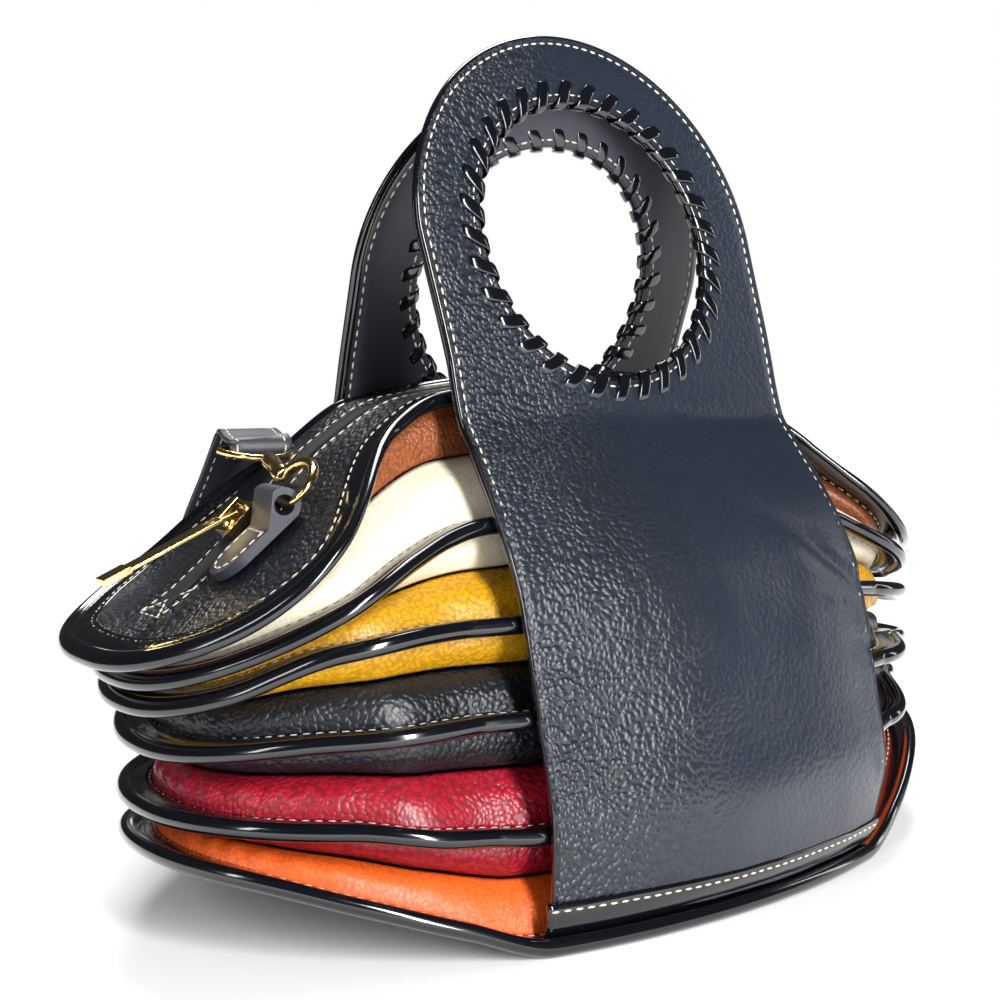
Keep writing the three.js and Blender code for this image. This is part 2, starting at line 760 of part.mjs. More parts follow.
leaves.forEach((leaf, i) => named("binding_" + (i + 1), bindingGeometry(i), "patent"));
named("top_leaf", topGeometry(), "pebbled");
named("brown_leaf_face", facingGeometry(0, 0, -1), "brown");
named("cream_leaf", foldGeometry(1), "cream");
named("yellow_leaf", foldGeometry(2), "yellow");
named("black_leaf", foldGeometry(3), "pebbled");
named("red_leaf", foldGeometry(4), "red");
named("orange_leaf_face", facingGeometry(5, 4, 1), "orange");
named("base_panel", leafGeometry(5, boardWall / 2, beadRadius), "pebbled");

for (const [name, ring] of [
  ["front", frontRing],
  ["back", backRing],
]) {
  named(name + "_panel", panelGeometry(ring), "pebbled");
  named(name + "_handle_lining", liningGeometry(ring), "smooth");
  named(name + "_lacing", lacingGeometry(ring), "patent");
}

named("zip_tape", zipGeometry(), "zipper");
const zipSlope = Math.atan2(
  topHeight(sliderPlace + sliderLength, 0) - topHeight(sliderPlace - sliderLength, 0),
  2 * sliderLength,
);
const zipAlong = vec(Math.cos(zipSlope), 0, Math.sin(zipSlope));
const zipUp = vec(-Math.sin(zipSlope), 0, Math.cos(zipSlope));
const sliderSeat = vec(sliderPlace, 0, topHeight(sliderPlace, 0)).addScaledVector(zipUp, 3 * seamGap);
place(named("zip_slider", sliderGeometry(), "gold"), sliderSeat, zipAlong, zipUp);
const pivot = sliderSeat.clone().addScaledVector(zipUp, sliderWall + (bridgeHeight - bridgeWall) / 2);
const pullAlong = vec(Math.cos(rad(pullLean)), 0, Math.sin(rad(pullLean)));
place(named("zip_pull", pullGeometry(), "gold"), pivot, pullAlong, vec(0, 0, 1));

// Tab, hook and eye at one end of the bag, placed by shares of the half length and the half depth; yaw turns
// them off square, pitch lifts or drops the clasp
function claspEnd(end) {
  const x = end.along * halfLength;
  const y = end.out * baseHalfDepth;
  const turned = vec(Math.sin(rad(end.yaw)), Math.cos(rad(end.yaw)), 0);
  const inwards = vec(-Math.sign(x) * turned.y, Math.sign(x) * turned.x, 0);
  const seat = vec(x, y, topHeight(x, y));
  const low = seat.clone().addScaledVector(inwards, -tabLength * 0.75);
  low.z = topHeight(low.x, low.y);
  const along = seat.clone().sub(low).normalize();
  const up = along.clone().cross(turned);
  if (up.z < 0) up.negate();
  const loop = seat.addScaledVector(up, loopRadius + tabWall + end.seat * seamGap);
  const swung = rad(end.yaw + end.swing);
  const towards = vec(Math.sin(swung), Math.cos(swung), Math.tan(rad(end.pitch))).normalize();
  const bowUp = inwards.clone().multiplyScalar(end.tilt).setZ(1).projectOnPlane(towards).normalize();
  const hook = loop.clone().addScaledVector(bowUp, 0.9 * hookRise);
  const barUp = vec(0, 0, 1);
  const bar = hook.clone().addScaledVector(towards, eyeBar);
  const across = barUp.clone().cross(towards).normalize();
  if (across.x < 0) across.negate();
  return { loop, along, up, hook, towards, bowUp, barUp, bar, across };
}

const left = claspEnd({ along: -0.6765, out: -0.2228, yaw: 10, swing: 4, pitch: 10, tilt: 0.9, seat: 1 });
const right = claspEnd({ along: 0.6941, out: 0.1576, yaw: 0, swing: 0, pitch: 9, tilt: 0, seat: 3 });
place(named("left_tab", tabGeometry(), "smooth"), left.loop, left.along, left.up);
place(named("right_tab", tabGeometry(), "smooth"), right.loop, right.along, right.up);
place(named("clasp_hook", hookGeometry(), "gold"), left.hook, left.towards, left.bowUp);
place(named("clasp_gate", gateGeometry(), "gold"), left.hook, left.towards, left.bowUp);
place(named("clasp_eye", eyeGeometry(), "gold"), left.hook, left.towards, left.barUp);
place(named("right_clasp", closedClaspGeometry(), "gold"), right.hook, right.towards, right.bowUp);

// The strap: folded round the left eye's bar, down behind the bag, along the floor and up to the right eye
function strapGeometry() {
  const wrap = ringWire + seamGap + strapWall / 2;
  const out = vec(0, 1, 0);
  const up = vec(0, 0, 1);
  const round = (end, o, u) => ({
    at: end.bar.clone().addScaledVector(out, o * wrap).addScaledVector(up, u * wrap),
    across: end.across,
  });
  const run = strapRun.map((row) => ({
    at: vec(row.along * halfLength, row.out * baseHalfDepth, row.up * bodyHeight + strapWall / 2),
    across: vec(Math.cos((row.turned * Math.PI) / 2), Math.sin((row.turned * Math.PI) / 2), 0),
  }));
  const stations = [
    round(left, 0.5, -1.2),
    round(left, -1, -0.9),
    round(left, -1.5, 0),
    round(left, -1, 0.9),
    round(left, 0.5, 1.2),
    ...run,
    round(right, 1.6, -1.5),
    round(right, 1.3, 0),
    round(right, 0.9, 1),
    round(right, -0.9, 1),
    round(right, -1.3, 0),
    round(right, -0.9, -1.3),
  ];
  const sections = stations.map(({ at, across }, i) => {
    const before = stations[Math.max(i - 1, 0)].at;
    const after = stations[Math.min(i + 1, stations.length - 1)].at;
    const thick = after.clone().sub(before).cross(across).normalize().multiplyScalar(strapWall / 2);
    const wide = across.clone().multiplyScalar(strapWidth / 2);
    return [
      at.clone().sub(wide).sub(thick),
      at.clone().add(wide).sub(thick),
      at.clone().add(wide).add(thick),
      at.clone().sub(wide).add(thick),
    ];
  });
  return loft(sections, false);
}
named("strap", strapGeometry(), "smooth");

export default part;
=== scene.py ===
from bisect import bisect_right
from functools import lru_cache
from math import atan2, cos, copysign, exp, pi, radians, sin, tan

import bmesh
import bpy
from mathutils import Matrix, Vector
from mathutils.noise import noise


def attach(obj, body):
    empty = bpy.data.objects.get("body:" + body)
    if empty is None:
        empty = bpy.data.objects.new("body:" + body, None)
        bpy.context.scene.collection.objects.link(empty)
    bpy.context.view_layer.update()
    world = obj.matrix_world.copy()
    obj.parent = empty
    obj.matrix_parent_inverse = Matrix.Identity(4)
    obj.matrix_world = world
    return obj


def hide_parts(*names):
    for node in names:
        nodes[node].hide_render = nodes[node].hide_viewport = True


# An accordion handbag: six piped leaves fanned between two tall panels with laced hand holes.
# Lengths are in millimetres here and become metres when a mesh is made.
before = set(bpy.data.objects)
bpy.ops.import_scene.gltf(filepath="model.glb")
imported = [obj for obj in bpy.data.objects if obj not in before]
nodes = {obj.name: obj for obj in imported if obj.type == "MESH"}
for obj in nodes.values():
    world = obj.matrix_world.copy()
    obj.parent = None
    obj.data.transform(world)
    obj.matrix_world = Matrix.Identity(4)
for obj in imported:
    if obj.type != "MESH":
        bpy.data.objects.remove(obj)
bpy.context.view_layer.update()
metre = 0.001
print("frame:", len(nodes), "nodes")

camera = {"place": (-317.39, -417.62, 156.64), "turn": 34.87, "tilt": -4.28, "lens": 55.72, "sensor": 36.0}


def makeCamera():
    data = bpy.data.cameras.new("photoCamera")
    data.lens = camera["lens"]
    data.sensor_width = camera["sensor"]
    data.clip_start = 0.01
    seen = bpy.data.objects.new("photoCamera", data)
    seen.location = Vector(camera["place"]) * metre
    seen.rotation_euler = (radians(90 + camera["tilt"]), 0, -radians(camera["turn"]))
    bpy.context.scene.collection.objects.link(seen)
    bpy.context.scene.camera = seen


# The bag's form, as the solids have it
body = {"height": 160, "halfLength": 170, "baseHalfDepth": 92, "baseTurn": 4, "topRoll": 10,
        "valleySide": 18, "valleyEnd": 16, "gap": 0.3}
binding = {"bead": 2.6, "strip": 6.5, "stripLift": 1.3, "seam": 1.9, "stations": 720, "fineStations": 2160,
           "pleatPitch": 4.6, "pleat": 0.32, "pleatFrom": 0.76, "pleatOver": 0.14}
panel = {"halfWidth": 68.5, "wall": 2.6, "belly": 84, "crown": 9, "foot": 6.2, "ringRadius": 70,
         "holeRadius": 46, "lining": 1, "columns": 400, "paint": 1.2, "seam": 3, "rounding": 5, "liningFoot": 61}
frontRing = {"side": -1, "height": 203, "shift": -3, "twist": 2.2}
backRing = {"side": 1, "height": 192, "shift": 1.6, "twist": -3}
rings = {"front": frontRing, "back": backRing}
rowUps = [0.027, 0.08, 0.17, 0.27, 0.37, 0.47, 0.57, 0.67, 0.72, 0.87, 1, 1.2, 1.4]
rowOuts = [0.94, 0.975, 0.995, 0.945, 0.895, 0.83, 0.7, 0.525, 0.434, 0.334, 0.247, 0.115, -0.017]
rowCrowns = [1, 1, 1, 0.95, 0.85, 0.7, 0.5, 0.2, 0, 0, 0, 0, 0]
rowTurns = [1, 0.75, 0.35, 0.25, 0.1, 0, 0, 0, 0, 0, 0, 0, 0]
rowTwists = [0, 0, 0, 0, 0, 0, 0.3, 0.8, 1, 1, 1, 1, 1]
alongShares = [0, 0.4, 0.55, 0.7, 0.85, 1]
rollShares = [0, 0.25, 0.85, 1, 0.3, 0]
leaves = [
    {"left": [0.974, 0.934, 0.85, 0.696, 0.564, 0.484], "right": [0.974, 0.89, 0.756, 0.634, 0.578, 0.534],
     "reach": (1, 0.955), "depth": 0.89, "nearRight": 0.65, "square": (2.6, 2), "turn": 0, "flare": (0.5, 0.84)},
    {"left": [0.728, 0.709, 0.659, 0.578, 0.49, 0.421], "right": [0.728, 0.69, 0.628, 0.565, 0.515, 0.465],
     "reach": (0.95, 0.9), "depth": 0.85, "nearRight": 0.62, "square": (2.4, 2), "turn": 0, "flare": (0.5, 0.85)},
    {"left": [0.5465, 0.54, 0.537, 0.515, 0.437, 0.371], "right": [0.5465, 0.54, 0.525, 0.4965, 0.465, 0.421],
     "reach": (0.94, 0.945), "depth": 0.91, "nearRight": 0.66, "square": (2.3, 2), "turn": 0, "flare": (0.49, 0.8)},
    {"left": [0.384, 0.378, 0.376, 0.365, 0.336, 0.284], "right": [0.378, 0.384, 0.39, 0.384, 0.365, 0.34],
     "reach": (0.91, 0.93), "depth": 0.95, "nearRight": 0.7, "square": (2.3, 2), "turn": 0, "flare": (0.49, 0.76)},
    {"left": [0.184, 0.184, 0.199, 0.219, 0.219, 0.209], "right": [0.199, 0.2465, 0.274, 0.2965, 0.284, 0.265],
     "reach": (0.92, 0.9), "depth": 0.98, "nearRight": 0.78, "square": (2.2, 2), "turn": 0.5, "flare": (0.49, 0.72)},
    {"left": [0, 0, 0.049, 0.1, 0.144, 0.167], "right": [0, 0, 0.054, 0.125, 0.174, 0.199],
     "reach": (0.933, 0.935), "depth": 1, "nearRight": 1, "square": (2.1, 2), "turn": 1, "flare": (-1, 0)},
]


def clamp(value, low, high):
    return max(low, min(high, value))


def ease(share):
    share = clamp(share, 0, 1)
    return share * share * (3 - 2 * share)


def mix(a, b, share):
    return a + (b - a) * share


# The lengths along a line of points, and the span and share of it that a length falls in
def lengthsAlong(points):
    lengths = [0]
    for a, b in zip(points, points[1:]):
        lengths.append(lengths[-1] + (b - a).length)
    return lengths


def spanAt(lengths, target):
    j = min(bisect_right(lengths, target) - 1, len(lengths) - 2)
    return j, (target - lengths[j]) / max(lengths[j + 1] - lengths[j], 1e-9)


# A smooth curve through a table, flat where the table turns back
def curveAt(xs, ys, x):
    at = clamp(x, xs[0], xs[-1])
    i = min(max(bisect_right(xs, at) - 1, 0), len(xs) - 2)

    def slope(j):
        return (ys[j + 1] - ys[j]) / (xs[j + 1] - xs[j])

    def tangent(j):
        if j == 0:
            return slope(0)
        if j == len(xs) - 1:
            return slope(j - 1)
        before, after = slope(j - 1), slope(j)
        return 0 if before * after <= 0 else 2 * before * after / (before + after)

    step = xs[i + 1] - xs[i]
    t = (at - xs[i]) / step
    rise = (1 + 2 * t) * (1 - t) ** 2 * ys[i] + t * t * (3 - 2 * t) * ys[i + 1]
    return rise + step * t * (1 - t) * ((1 - t) * tangent(i) - t * tangent(i + 1))


# How far out, how crowned and how turned a panel is at a share of its ring's height, kept in fine steps
rowSteps = 1000


@lru_cache(None)
def panelRow(step):
    up = step / rowSteps
    out = curveAt(rowUps, rowOuts, up) * panel["belly"]
    crown = curveAt(rowUps, rowCrowns, up) * panel["crown"]
    return out, crown, curveAt(rowUps, rowTurns, up), curveAt(rowUps, rowTwists, up)


def panelY(ring, x, z):
    at = clamp(z / ring["height"] * rowSteps, 0, rowUps[-1] * rowSteps - 1)
    low = int(at)
    first, second = panelRow(low), panelRow(low + 1)
    out, crown, turn, twist = (mix(a, b, at - low) for a, b in zip(first, second))
    crowned = crown * (1 - (x / panel["halfWidth"]) ** 2)
    turned = radians(body["baseTurn"] * turn + ring["twist"] * twist)
    return ring["side"] * (out + crowned) + x * tan(turned)


# A point of a panel, lifted off its middle surface towards the outside
def panelPoint(ring, x, z, lift):
    step = 0.5
    y = panelY(ring, x, z)
    alongX = Vector((2 * step, panelY(ring, x + step, z) - panelY(ring, x - step, z), 0))
    alongZ = Vector((0, panelY(ring, x, z + step) - panelY(ring, x, z - step), 2 * step))
    out = alongX.cross(alongZ).normalized()
    if out.y * ring["side"] < 0:
        out.negate()
    return Vector((x, y, z)) + out * lift


def ringLean(ring):
    rise = ring["height"] * 0.2
    back = panelY(ring, ring["shift"], ring["height"] + rise) - panelY(ring, ring["shift"], ring["height"])
    return cos(atan2(back, rise))


def acrossAt(angle):
    return copysign(1, sin(angle)) * ease(abs(sin(angle)) * 2)


heightXs = [-share for share in alongShares[:0:-1]] + alongShares


def edgeHeight(index, x, across):
    leaf = leaves[index]
    ys = leaf["left"][:0:-1] + leaf["right"]
    roll = 0
    if index == 0 and x < 0:
        roll = body["topRoll"] * ease(across) * curveAt(alongShares, rollShares, -x / body["halfLength"])
    return binding["bead"] + body["height"] * curveAt(heightXs, ys, x / body["halfLength"]) - roll


@lru_cache(None)
def edgePoint(index, angle):
    leaf = leaves[index]
    c, s = cos(angle), sin(angle)
    side = -1 if s < 0 else 1
    end = 0 if c < 0 else 1
    depth = leaf["nearRight"] if side < 0 and end else leaf["depth"]
    x = body["halfLength"] * leaf["reach"][end] * copysign(abs(c) ** (2 / leaf["square"][end]), c)
    z = edgeHeight(index, x, acrossAt(angle))
    free = side * body["baseHalfDepth"] * depth * abs(s) ** (2 / leaf["square"][end])
    free += x * tan(radians(body["baseTurn"] * leaf["turn"]))
    ring = frontRing if side < 0 else backRing
    clear = panel["wall"] / 2 + 4 * body["gap"]
    if index == 0:
        clear += panel["lining"] + 5 * body["gap"]
    past = 1.2 * panel["halfWidth"]
    flared = ease((abs(x) / body["halfLength"] - leaf["flare"][0]) / (leaf["flare"][1] - leaf["flare"][0]))
    if flared >= 1:
        return Vector((x, free, z))
    held = side * min(side * panelPoint(ring, clamp(x, -past, past), z + up, -clear).y
                      for up in (binding["bead"], -binding["bead"]))
    return Vector((x, mix(held, free, flared), z))


# Evenly spaced stations round a leaf's edge: the angle, the point and the level way out
@lru_cache(None)
def rim(index):
    fine = binding["fineStations"]
    angles = [2 * pi * i / fine for i in range(fine + 1)]
    points = [edgePoint(index, angle) for angle in angles]
    lengths = lengthsAlong(points)
    stations = binding["stations"]
    spaced = []
    for i in range(stations):
        j, share = spanAt(lengths, lengths[-1] * i / stations)
        spaced.append((mix(angles[j], angles[j + 1], share), points[j].lerp(points[j + 1], share)))
    result = []
    for i, (angle, point) in enumerate(spaced):
        along = spaced[(i + 2) % stations][1] - spaced[i - 2][1]
        result.append((angle, point, Vector((along.y, -along.x, 0)).normalized()))
    return result, lengths[-1]


def rimPoint(index, station, inset, up):
    angle, point, out = rim(index)[0][station % binding["stations"]]
    p = point - out * inset
    return Vector((p.x, p.y, edgeHeight(index, p.x, acrossAt(angle)) + up))


def edgeOut(index, angle):
    along = edgePoint(index, angle + 0.01) - edgePoint(index, angle - 0.01)
    return Vector((along.y, -along.x, 0)).normalized()


@lru_cache(None)
def valleyBase(index, angle):
    p = (edgePoint(index, angle) + edgePoint(index + 1, angle)) / 2
    out = (edgeOut(index, angle) + edgeOut(index + 1, angle)).normalized()
    p = p - out * mix(body["valleyEnd"], body["valleySide"], abs(sin(angle)))
    across = acrossAt(angle)
    z = (edgeHeight(index, p.x, across) + edgeHeight(index + 1, p.x, across)) / 2
    return Vector((p.x, p.y, z))


def valleyPoint(index, angle, up):
    return valleyBase(index, angle) + Vector((0, 0, up))


# A grid whose points are put in place by a function of column and row; ends that meet are joined
def wrapGrid(columns, rows, place, size=(1, 1), group=None):
    bm = bmesh.new()
    surface = bm.loops.layers.uv.new("surface")
    bmesh.ops.create_grid(bm, x_segments=columns, y_segments=rows, size=0.5)
    for face in bm.faces:
        if group:
            centre = face.calc_center_median()
            face.material_index = group((centre.x + 0.5) * columns, (centre.y + 0.5) * rows)
        for loop in face.loops:
            loop[surface].uv = ((loop.vert.co.x + 0.5) * size[0], (loop.vert.co.y + 0.5) * size[1])
    for vert in bm.verts:
        vert.co = place(round((vert.co.x + 0.5) * columns), round((vert.co.y + 0.5) * rows)) * metre
    bmesh.ops.remove_doubles(bm, verts=bm.verts, dist=2e-6)
    bmesh.ops.recalc_face_normals(bm, faces=bm.faces)
    return bm


def closeEnds(bm):
    bmesh.ops.holes_fill(bm, edges=[edge for edge in bm.edges if edge.is_boundary])
    bmesh.ops.recalc_face_normals(bm, faces=bm.faces)


def makePiece(name, bm, coverings, replaced=()):
    mesh = bpy.data.meshes.new(name)
    bm.to_mesh(mesh)
    bm.free()
    mesh.polygons.foreach_set("use_smooth", [True] * len(mesh.polygons))
    piece = bpy.data.objects.new(name, mesh)
    bpy.context.scene.collection.objects.link(piece)
    for look in coverings:
        mesh.materials.append(look)
    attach(piece, "bag")
    if replaced:
        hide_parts(*replaced)
    return piece


thread = {"length": 2.7, "width": 0.72, "height": 0.5, "pitch": 3.6}


# Thread stitches, each a small flattened bead lying along its seam
def stitchMesh(strokes):
    bm = bmesh.new()
    bead = bmesh.new()
    bmesh.ops.create_uvsphere(bead, u_segments=6, v_segments=4, radius=metre)
    template = bpy.data.meshes.new("stitch")
    bead.to_mesh(template)
    bead.free()
    scale = Matrix.Diagonal((thread["length"] / 2, thread["width"] / 2, thread["height"] / 2, 1))
    for point, along, normal in strokes:
        x = along.normalized()
        y = normal.cross(x).normalized()
        z = x.cross(y)
        turn = Matrix((x, y, z)).transposed().to_4x4()
        place = Matrix.Translation(point * metre) @ turn @ scale
        stitch = template.copy()
        stitch.transform(place)
        bm.from_mesh(stitch)
        bpy.data.meshes.remove(stitch)
    bpy.data.meshes.remove(template)
    return bm


# Evenly spaced strokes along a line of points with their normals
def strokesAlong(points, normals, pitch=thread["pitch"], closed=False):
    if closed:
        points, normals = points + points[:1], normals + normals[:1]
    lengths = lengthsAlong(points)
    count = max(int(lengths[-1] / pitch), 1)
    strokes = []
    for i in range(count):
        j, share = spanAt(lengths, lengths[-1] * (i + 0.5) / count)
        along = (points[j + 1] - points[j]).normalized()
        normal = normals[j].lerp(normals[j + 1], share).normalized()
        strokes.append((points[j].lerp(points[j + 1], share), along, normal))
    return strokes


def makeStitches(name, strokes):
    makePiece(name, stitchMesh(strokes), [looks["thread"]])


# Materials, from node groups and nodes that read object coordinates only

def newGroup(name, inputs, outputs):
    group = bpy.data.node_groups.new(name, "ShaderNodeTree")
    for label, value in inputs:
        socket = group.interface.new_socket(label, in_out="INPUT", socket_type="NodeSocketFloat")
        socket.default_value = value
    for label in outputs:
        group.interface.new_socket(label, in_out="OUTPUT", socket_type="NodeSocketFloat")
    return group, group.nodes.new("NodeGroupInput"), group.nodes.new("NodeGroupOutput")


def addNode(tree, kind, **values):
    node = tree.nodes.new(kind)
    for key, value in values.items():
        if hasattr(node, key):
            setattr(node, key, value)
        else:
            node.inputs[key.replace("_", " ").title()].default_value = value
    return node


def mathNode(tree, operation, a, b=None, c=None, clamped=False):
    node = tree.nodes.new("ShaderNodeMath")
    node.operation = operation
    node.use_clamp = clamped
    for socket, value in zip(node.inputs, (a, b, c)):
        if value is None:
            continue
        if isinstance(value, (int, float)):
            socket.default_value = value
        else:
            tree.links.new(value, socket)
    return node.outputs[0]


# Leather grain: domed pebbles with creases between them, fine pores, and patches where the grain is drawn flat
def makeGrain():
    group, given, out = newGroup("leatherGrain", [("Cells", 420), ("Pores", 2600), ("Fade", 0)],
                                 ["Height", "Crease", "Patches"])
    link = group.links.new
    coords = group.nodes.new("ShaderNodeTexCoord")
    warp = addNode(group, "ShaderNodeTexNoise", scale=60.0, detail=2.0)
    link(coords.outputs["Object"], warp.inputs["Vector"])
    centred = group.nodes.new("ShaderNodeVectorMath")
    centred.operation = "MULTIPLY_ADD"
    centred.inputs[1].default_value = (0.006, 0.006, 0.006)
    link(warp.outputs["Color"], centred.inputs[0])
    link(coords.outputs["Object"], centred.inputs[2])

    def pebbles(scale, sharpness):
        cells = addNode(group, "ShaderNodeTexVoronoi", feature="SMOOTH_F1")
        cells.inputs["Smoothness"].default_value = 0.12
        link(centred.outputs[0], cells.inputs["Vector"])
        link(scale, cells.inputs["Scale"])
        squared = mathNode(group, "POWER", cells.outputs["Distance"], 2.0)
        return mathNode(group, "MULTIPLY_ADD", squared, -sharpness, 1, clamped=True)

    dome = pebbles(given.outputs["Cells"], 1.9)
    wideDome = pebbles(mathNode(group, "MULTIPLY", given.outputs["Cells"], 0.55), 1.6)
    pores = addNode(group, "ShaderNodeTexNoise", detail=3.0)
    link(coords.outputs["Object"], pores.inputs["Vector"])
    link(given.outputs["Pores"], pores.inputs["Scale"])
    patches = addNode(group, "ShaderNodeTexNoise", scale=12.0, detail=2.0)
    link(coords.outputs["Object"], patches.inputs["Vector"])
    flat = addNode(group, "ShaderNodeMapRange", from_min=0.38, from_max=0.62, to_min=0.35, to_max=1.0)
    link(patches.outputs["Fac"], flat.inputs["Value"])
    split = group.nodes.new("ShaderNodeSeparateXYZ")
    link(coords.outputs["Object"], split.inputs[0])
    drift = mathNode(group, "MULTIPLY_ADD", patches.outputs["Fac"], 0.05, split.outputs["X"])
    along = addNode(group, "ShaderNodeMapRange", from_min=-0.022, from_max=0.03, to_min=0.0, to_max=1.0)
    along.interpolation_type = "SMOOTHSTEP"
    link(drift, along.inputs["Value"])
    kept = mathNode(group, "SUBTRACT", 1, mathNode(group, "MULTIPLY", along.outputs["Result"], given.outputs["Fade"]))
    grown = mathNode(group, "MULTIPLY", mathNode(group, "MULTIPLY", dome, flat.outputs["Result"]), kept)
    height = mathNode(group, "MULTIPLY_ADD", mathNode(group, "MULTIPLY", wideDome, kept), 0.2, grown)
    height = mathNode(group, "MULTIPLY_ADD", pores.outputs["Fac"], 0.1, height)
    link(height, out.inputs["Height"])
    link(mathNode(group, "MULTIPLY", mathNode(group, "SUBTRACT", 1, dome), kept), out.inputs["Crease"])
    link(patches.outputs["Fac"], out.inputs["Patches"])
    return group


grain = makeGrain()


def addBump(tree, shader, height, distance):
    bump = addNode(tree, "ShaderNodeBump", distance=distance * metre)
    tree.links.new(height, bump.inputs["Height"])
    tree.links.new(bump.outputs["Normal"], shader.inputs["Normal"])


def newMaterial(name, colour, roughness, metallic=0.0):
    material = bpy.data.materials.new(name)
    material.use_nodes = True
    shader = material.node_tree.nodes["Principled BSDF"]
    shader.inputs["Base Color"].default_value = (*colour, 1)
    shader.inputs["Roughness"].default_value = roughness
    shader.inputs["Metallic"].default_value = metallic
    return material, material.node_tree, shader


# Grained leather: creases with painted shade, darker and duller than the pebbles' crowns, the tone wandering in soft
# patches
leather = {"poresPerCell": 6, "creaseShade": 0.75, "dulling": 0.12, "coatRoughness": 0.25}


def makeLeather(name, colour, creaseShadeColour, cells, depth, roughness, coat=0.0, fade=0.0):
    material, tree, shader = newMaterial(name, colour, roughness)
    link = tree.links.new
    grained = tree.nodes.new("ShaderNodeGroup")
    grained.node_tree = grain
    grained.inputs["Cells"].default_value = cells
    grained.inputs["Pores"].default_value = cells * leather["poresPerCell"]
    grained.inputs["Fade"].default_value = fade
    # Painted shade: the creases between the pebbles are mixed towards a darker colour
    creaseShadeMix = tree.nodes.new("ShaderNodeMix")
    creaseShadeMix.data_type = "RGBA"
    creaseShadeMix.inputs["A"].default_value = (*colour, 1)
    creaseShadeMix.inputs["B"].default_value = (*creaseShadeColour, 1)
    link(mathNode(tree, "MULTIPLY", grained.outputs["Crease"], leather["creaseShade"]), creaseShadeMix.inputs["Factor"])
    tone = tree.nodes.new("ShaderNodeHueSaturation")
    link(mathNode(tree, "MULTIPLY_ADD", grained.outputs["Patches"], 0.5, 0.75), tone.inputs["Value"])
    link(creaseShadeMix.outputs["Result"], tone.inputs["Color"])
    link(tone.outputs["Color"], shader.inputs["Base Color"])
    dulling = leather["dulling"]
    rough = mathNode(tree, "MULTIPLY_ADD", grained.outputs["Crease"], dulling, roughness - dulling * 0.3)
    link(rough, shader.inputs["Roughness"])
    addBump(tree, shader, grained.outputs["Height"], depth)
    shader.inputs["Coat Weight"].default_value = coat
    shader.inputs["Coat Roughness"].default_value = leather["coatRoughness"]
    return material


# Smooth or patent leather: a clear top coat over a faintly wavy, finely pored ground
def makeSmooth(name, colour, roughness, coat, coatRoughness, wave, waveScale):
    material, tree, shader = newMaterial(name, colour, roughness)
    link = tree.links.new
    coords = tree.nodes.new("ShaderNodeTexCoord")
    waves = addNode(tree, "ShaderNodeTexNoise", scale=waveScale, detail=3.0)
    link(coords.outputs["Object"], waves.inputs["Vector"])
    smudge = addNode(tree, "ShaderNodeTexNoise", scale=30.0, detail=4.0)
    link(coords.outputs["Object"], smudge.inputs["Vector"])
    link(mathNode(tree, "MULTIPLY_ADD", smudge.outputs["Fac"], 0.16, roughness - 0.08), shader.inputs["Roughness"])
    addBump(tree, shader, waves.outputs["Fac"], wave)
    shader.inputs["Coat Weight"].default_value = coat
    shader.inputs["Coat Roughness"].default_value = coatRoughness
    return material


def makeThread():
    material, tree, shader = newMaterial("creamThread", (0.66, 0.58, 0.42), 0.7)
    link = tree.links.new
    coords = tree.nodes.new("ShaderNodeTexCoord")
    twist = addNode(tree, "ShaderNodeTexWave", scale=900.0, distortion=2.0)
    twist.bands_direction = "DIAGONAL"
    link(coords.outputs["Object"], twist.inputs["Vector"])
    # Painted shade: the twist's grooves between the plies are darker than its ridges
    twistShadeMix = tree.nodes.new("ShaderNodeMix")
    twistShadeMix.data_type = "RGBA"
    twistShadeMix.inputs["A"].default_value = (0.4, 0.34, 0.25, 1)
    twistShadeMix.inputs["B"].default_value = (0.82, 0.77, 0.65, 1)
    link(twist.outputs["Fac"], twistShadeMix.inputs["Factor"])
    link(twistShadeMix.outputs["Result"], shader.inputs["Base Color"])
    addBump(tree, shader, twist.outputs["Fac"], 0.08)
    return material


def makeGold():
    material, tree, shader = newMaterial("paleGold", (0.86, 0.62, 0.26), 0.16, 1.0)
    link = tree.links.new
    coords = tree.nodes.new("ShaderNodeTexCoord")
    scuffs = addNode(tree, "ShaderNodeTexNoise", scale=700.0, detail=4.0)
    link(coords.outputs["Object"], scuffs.inputs["Vector"])
    link(mathNode(tree, "MULTIPLY_ADD", scuffs.outputs["Fac"], 0.14, 0.08), shader.inputs["Roughness"])
    addBump(tree, shader, scuffs.outputs["Fac"], 0.012)
    return material


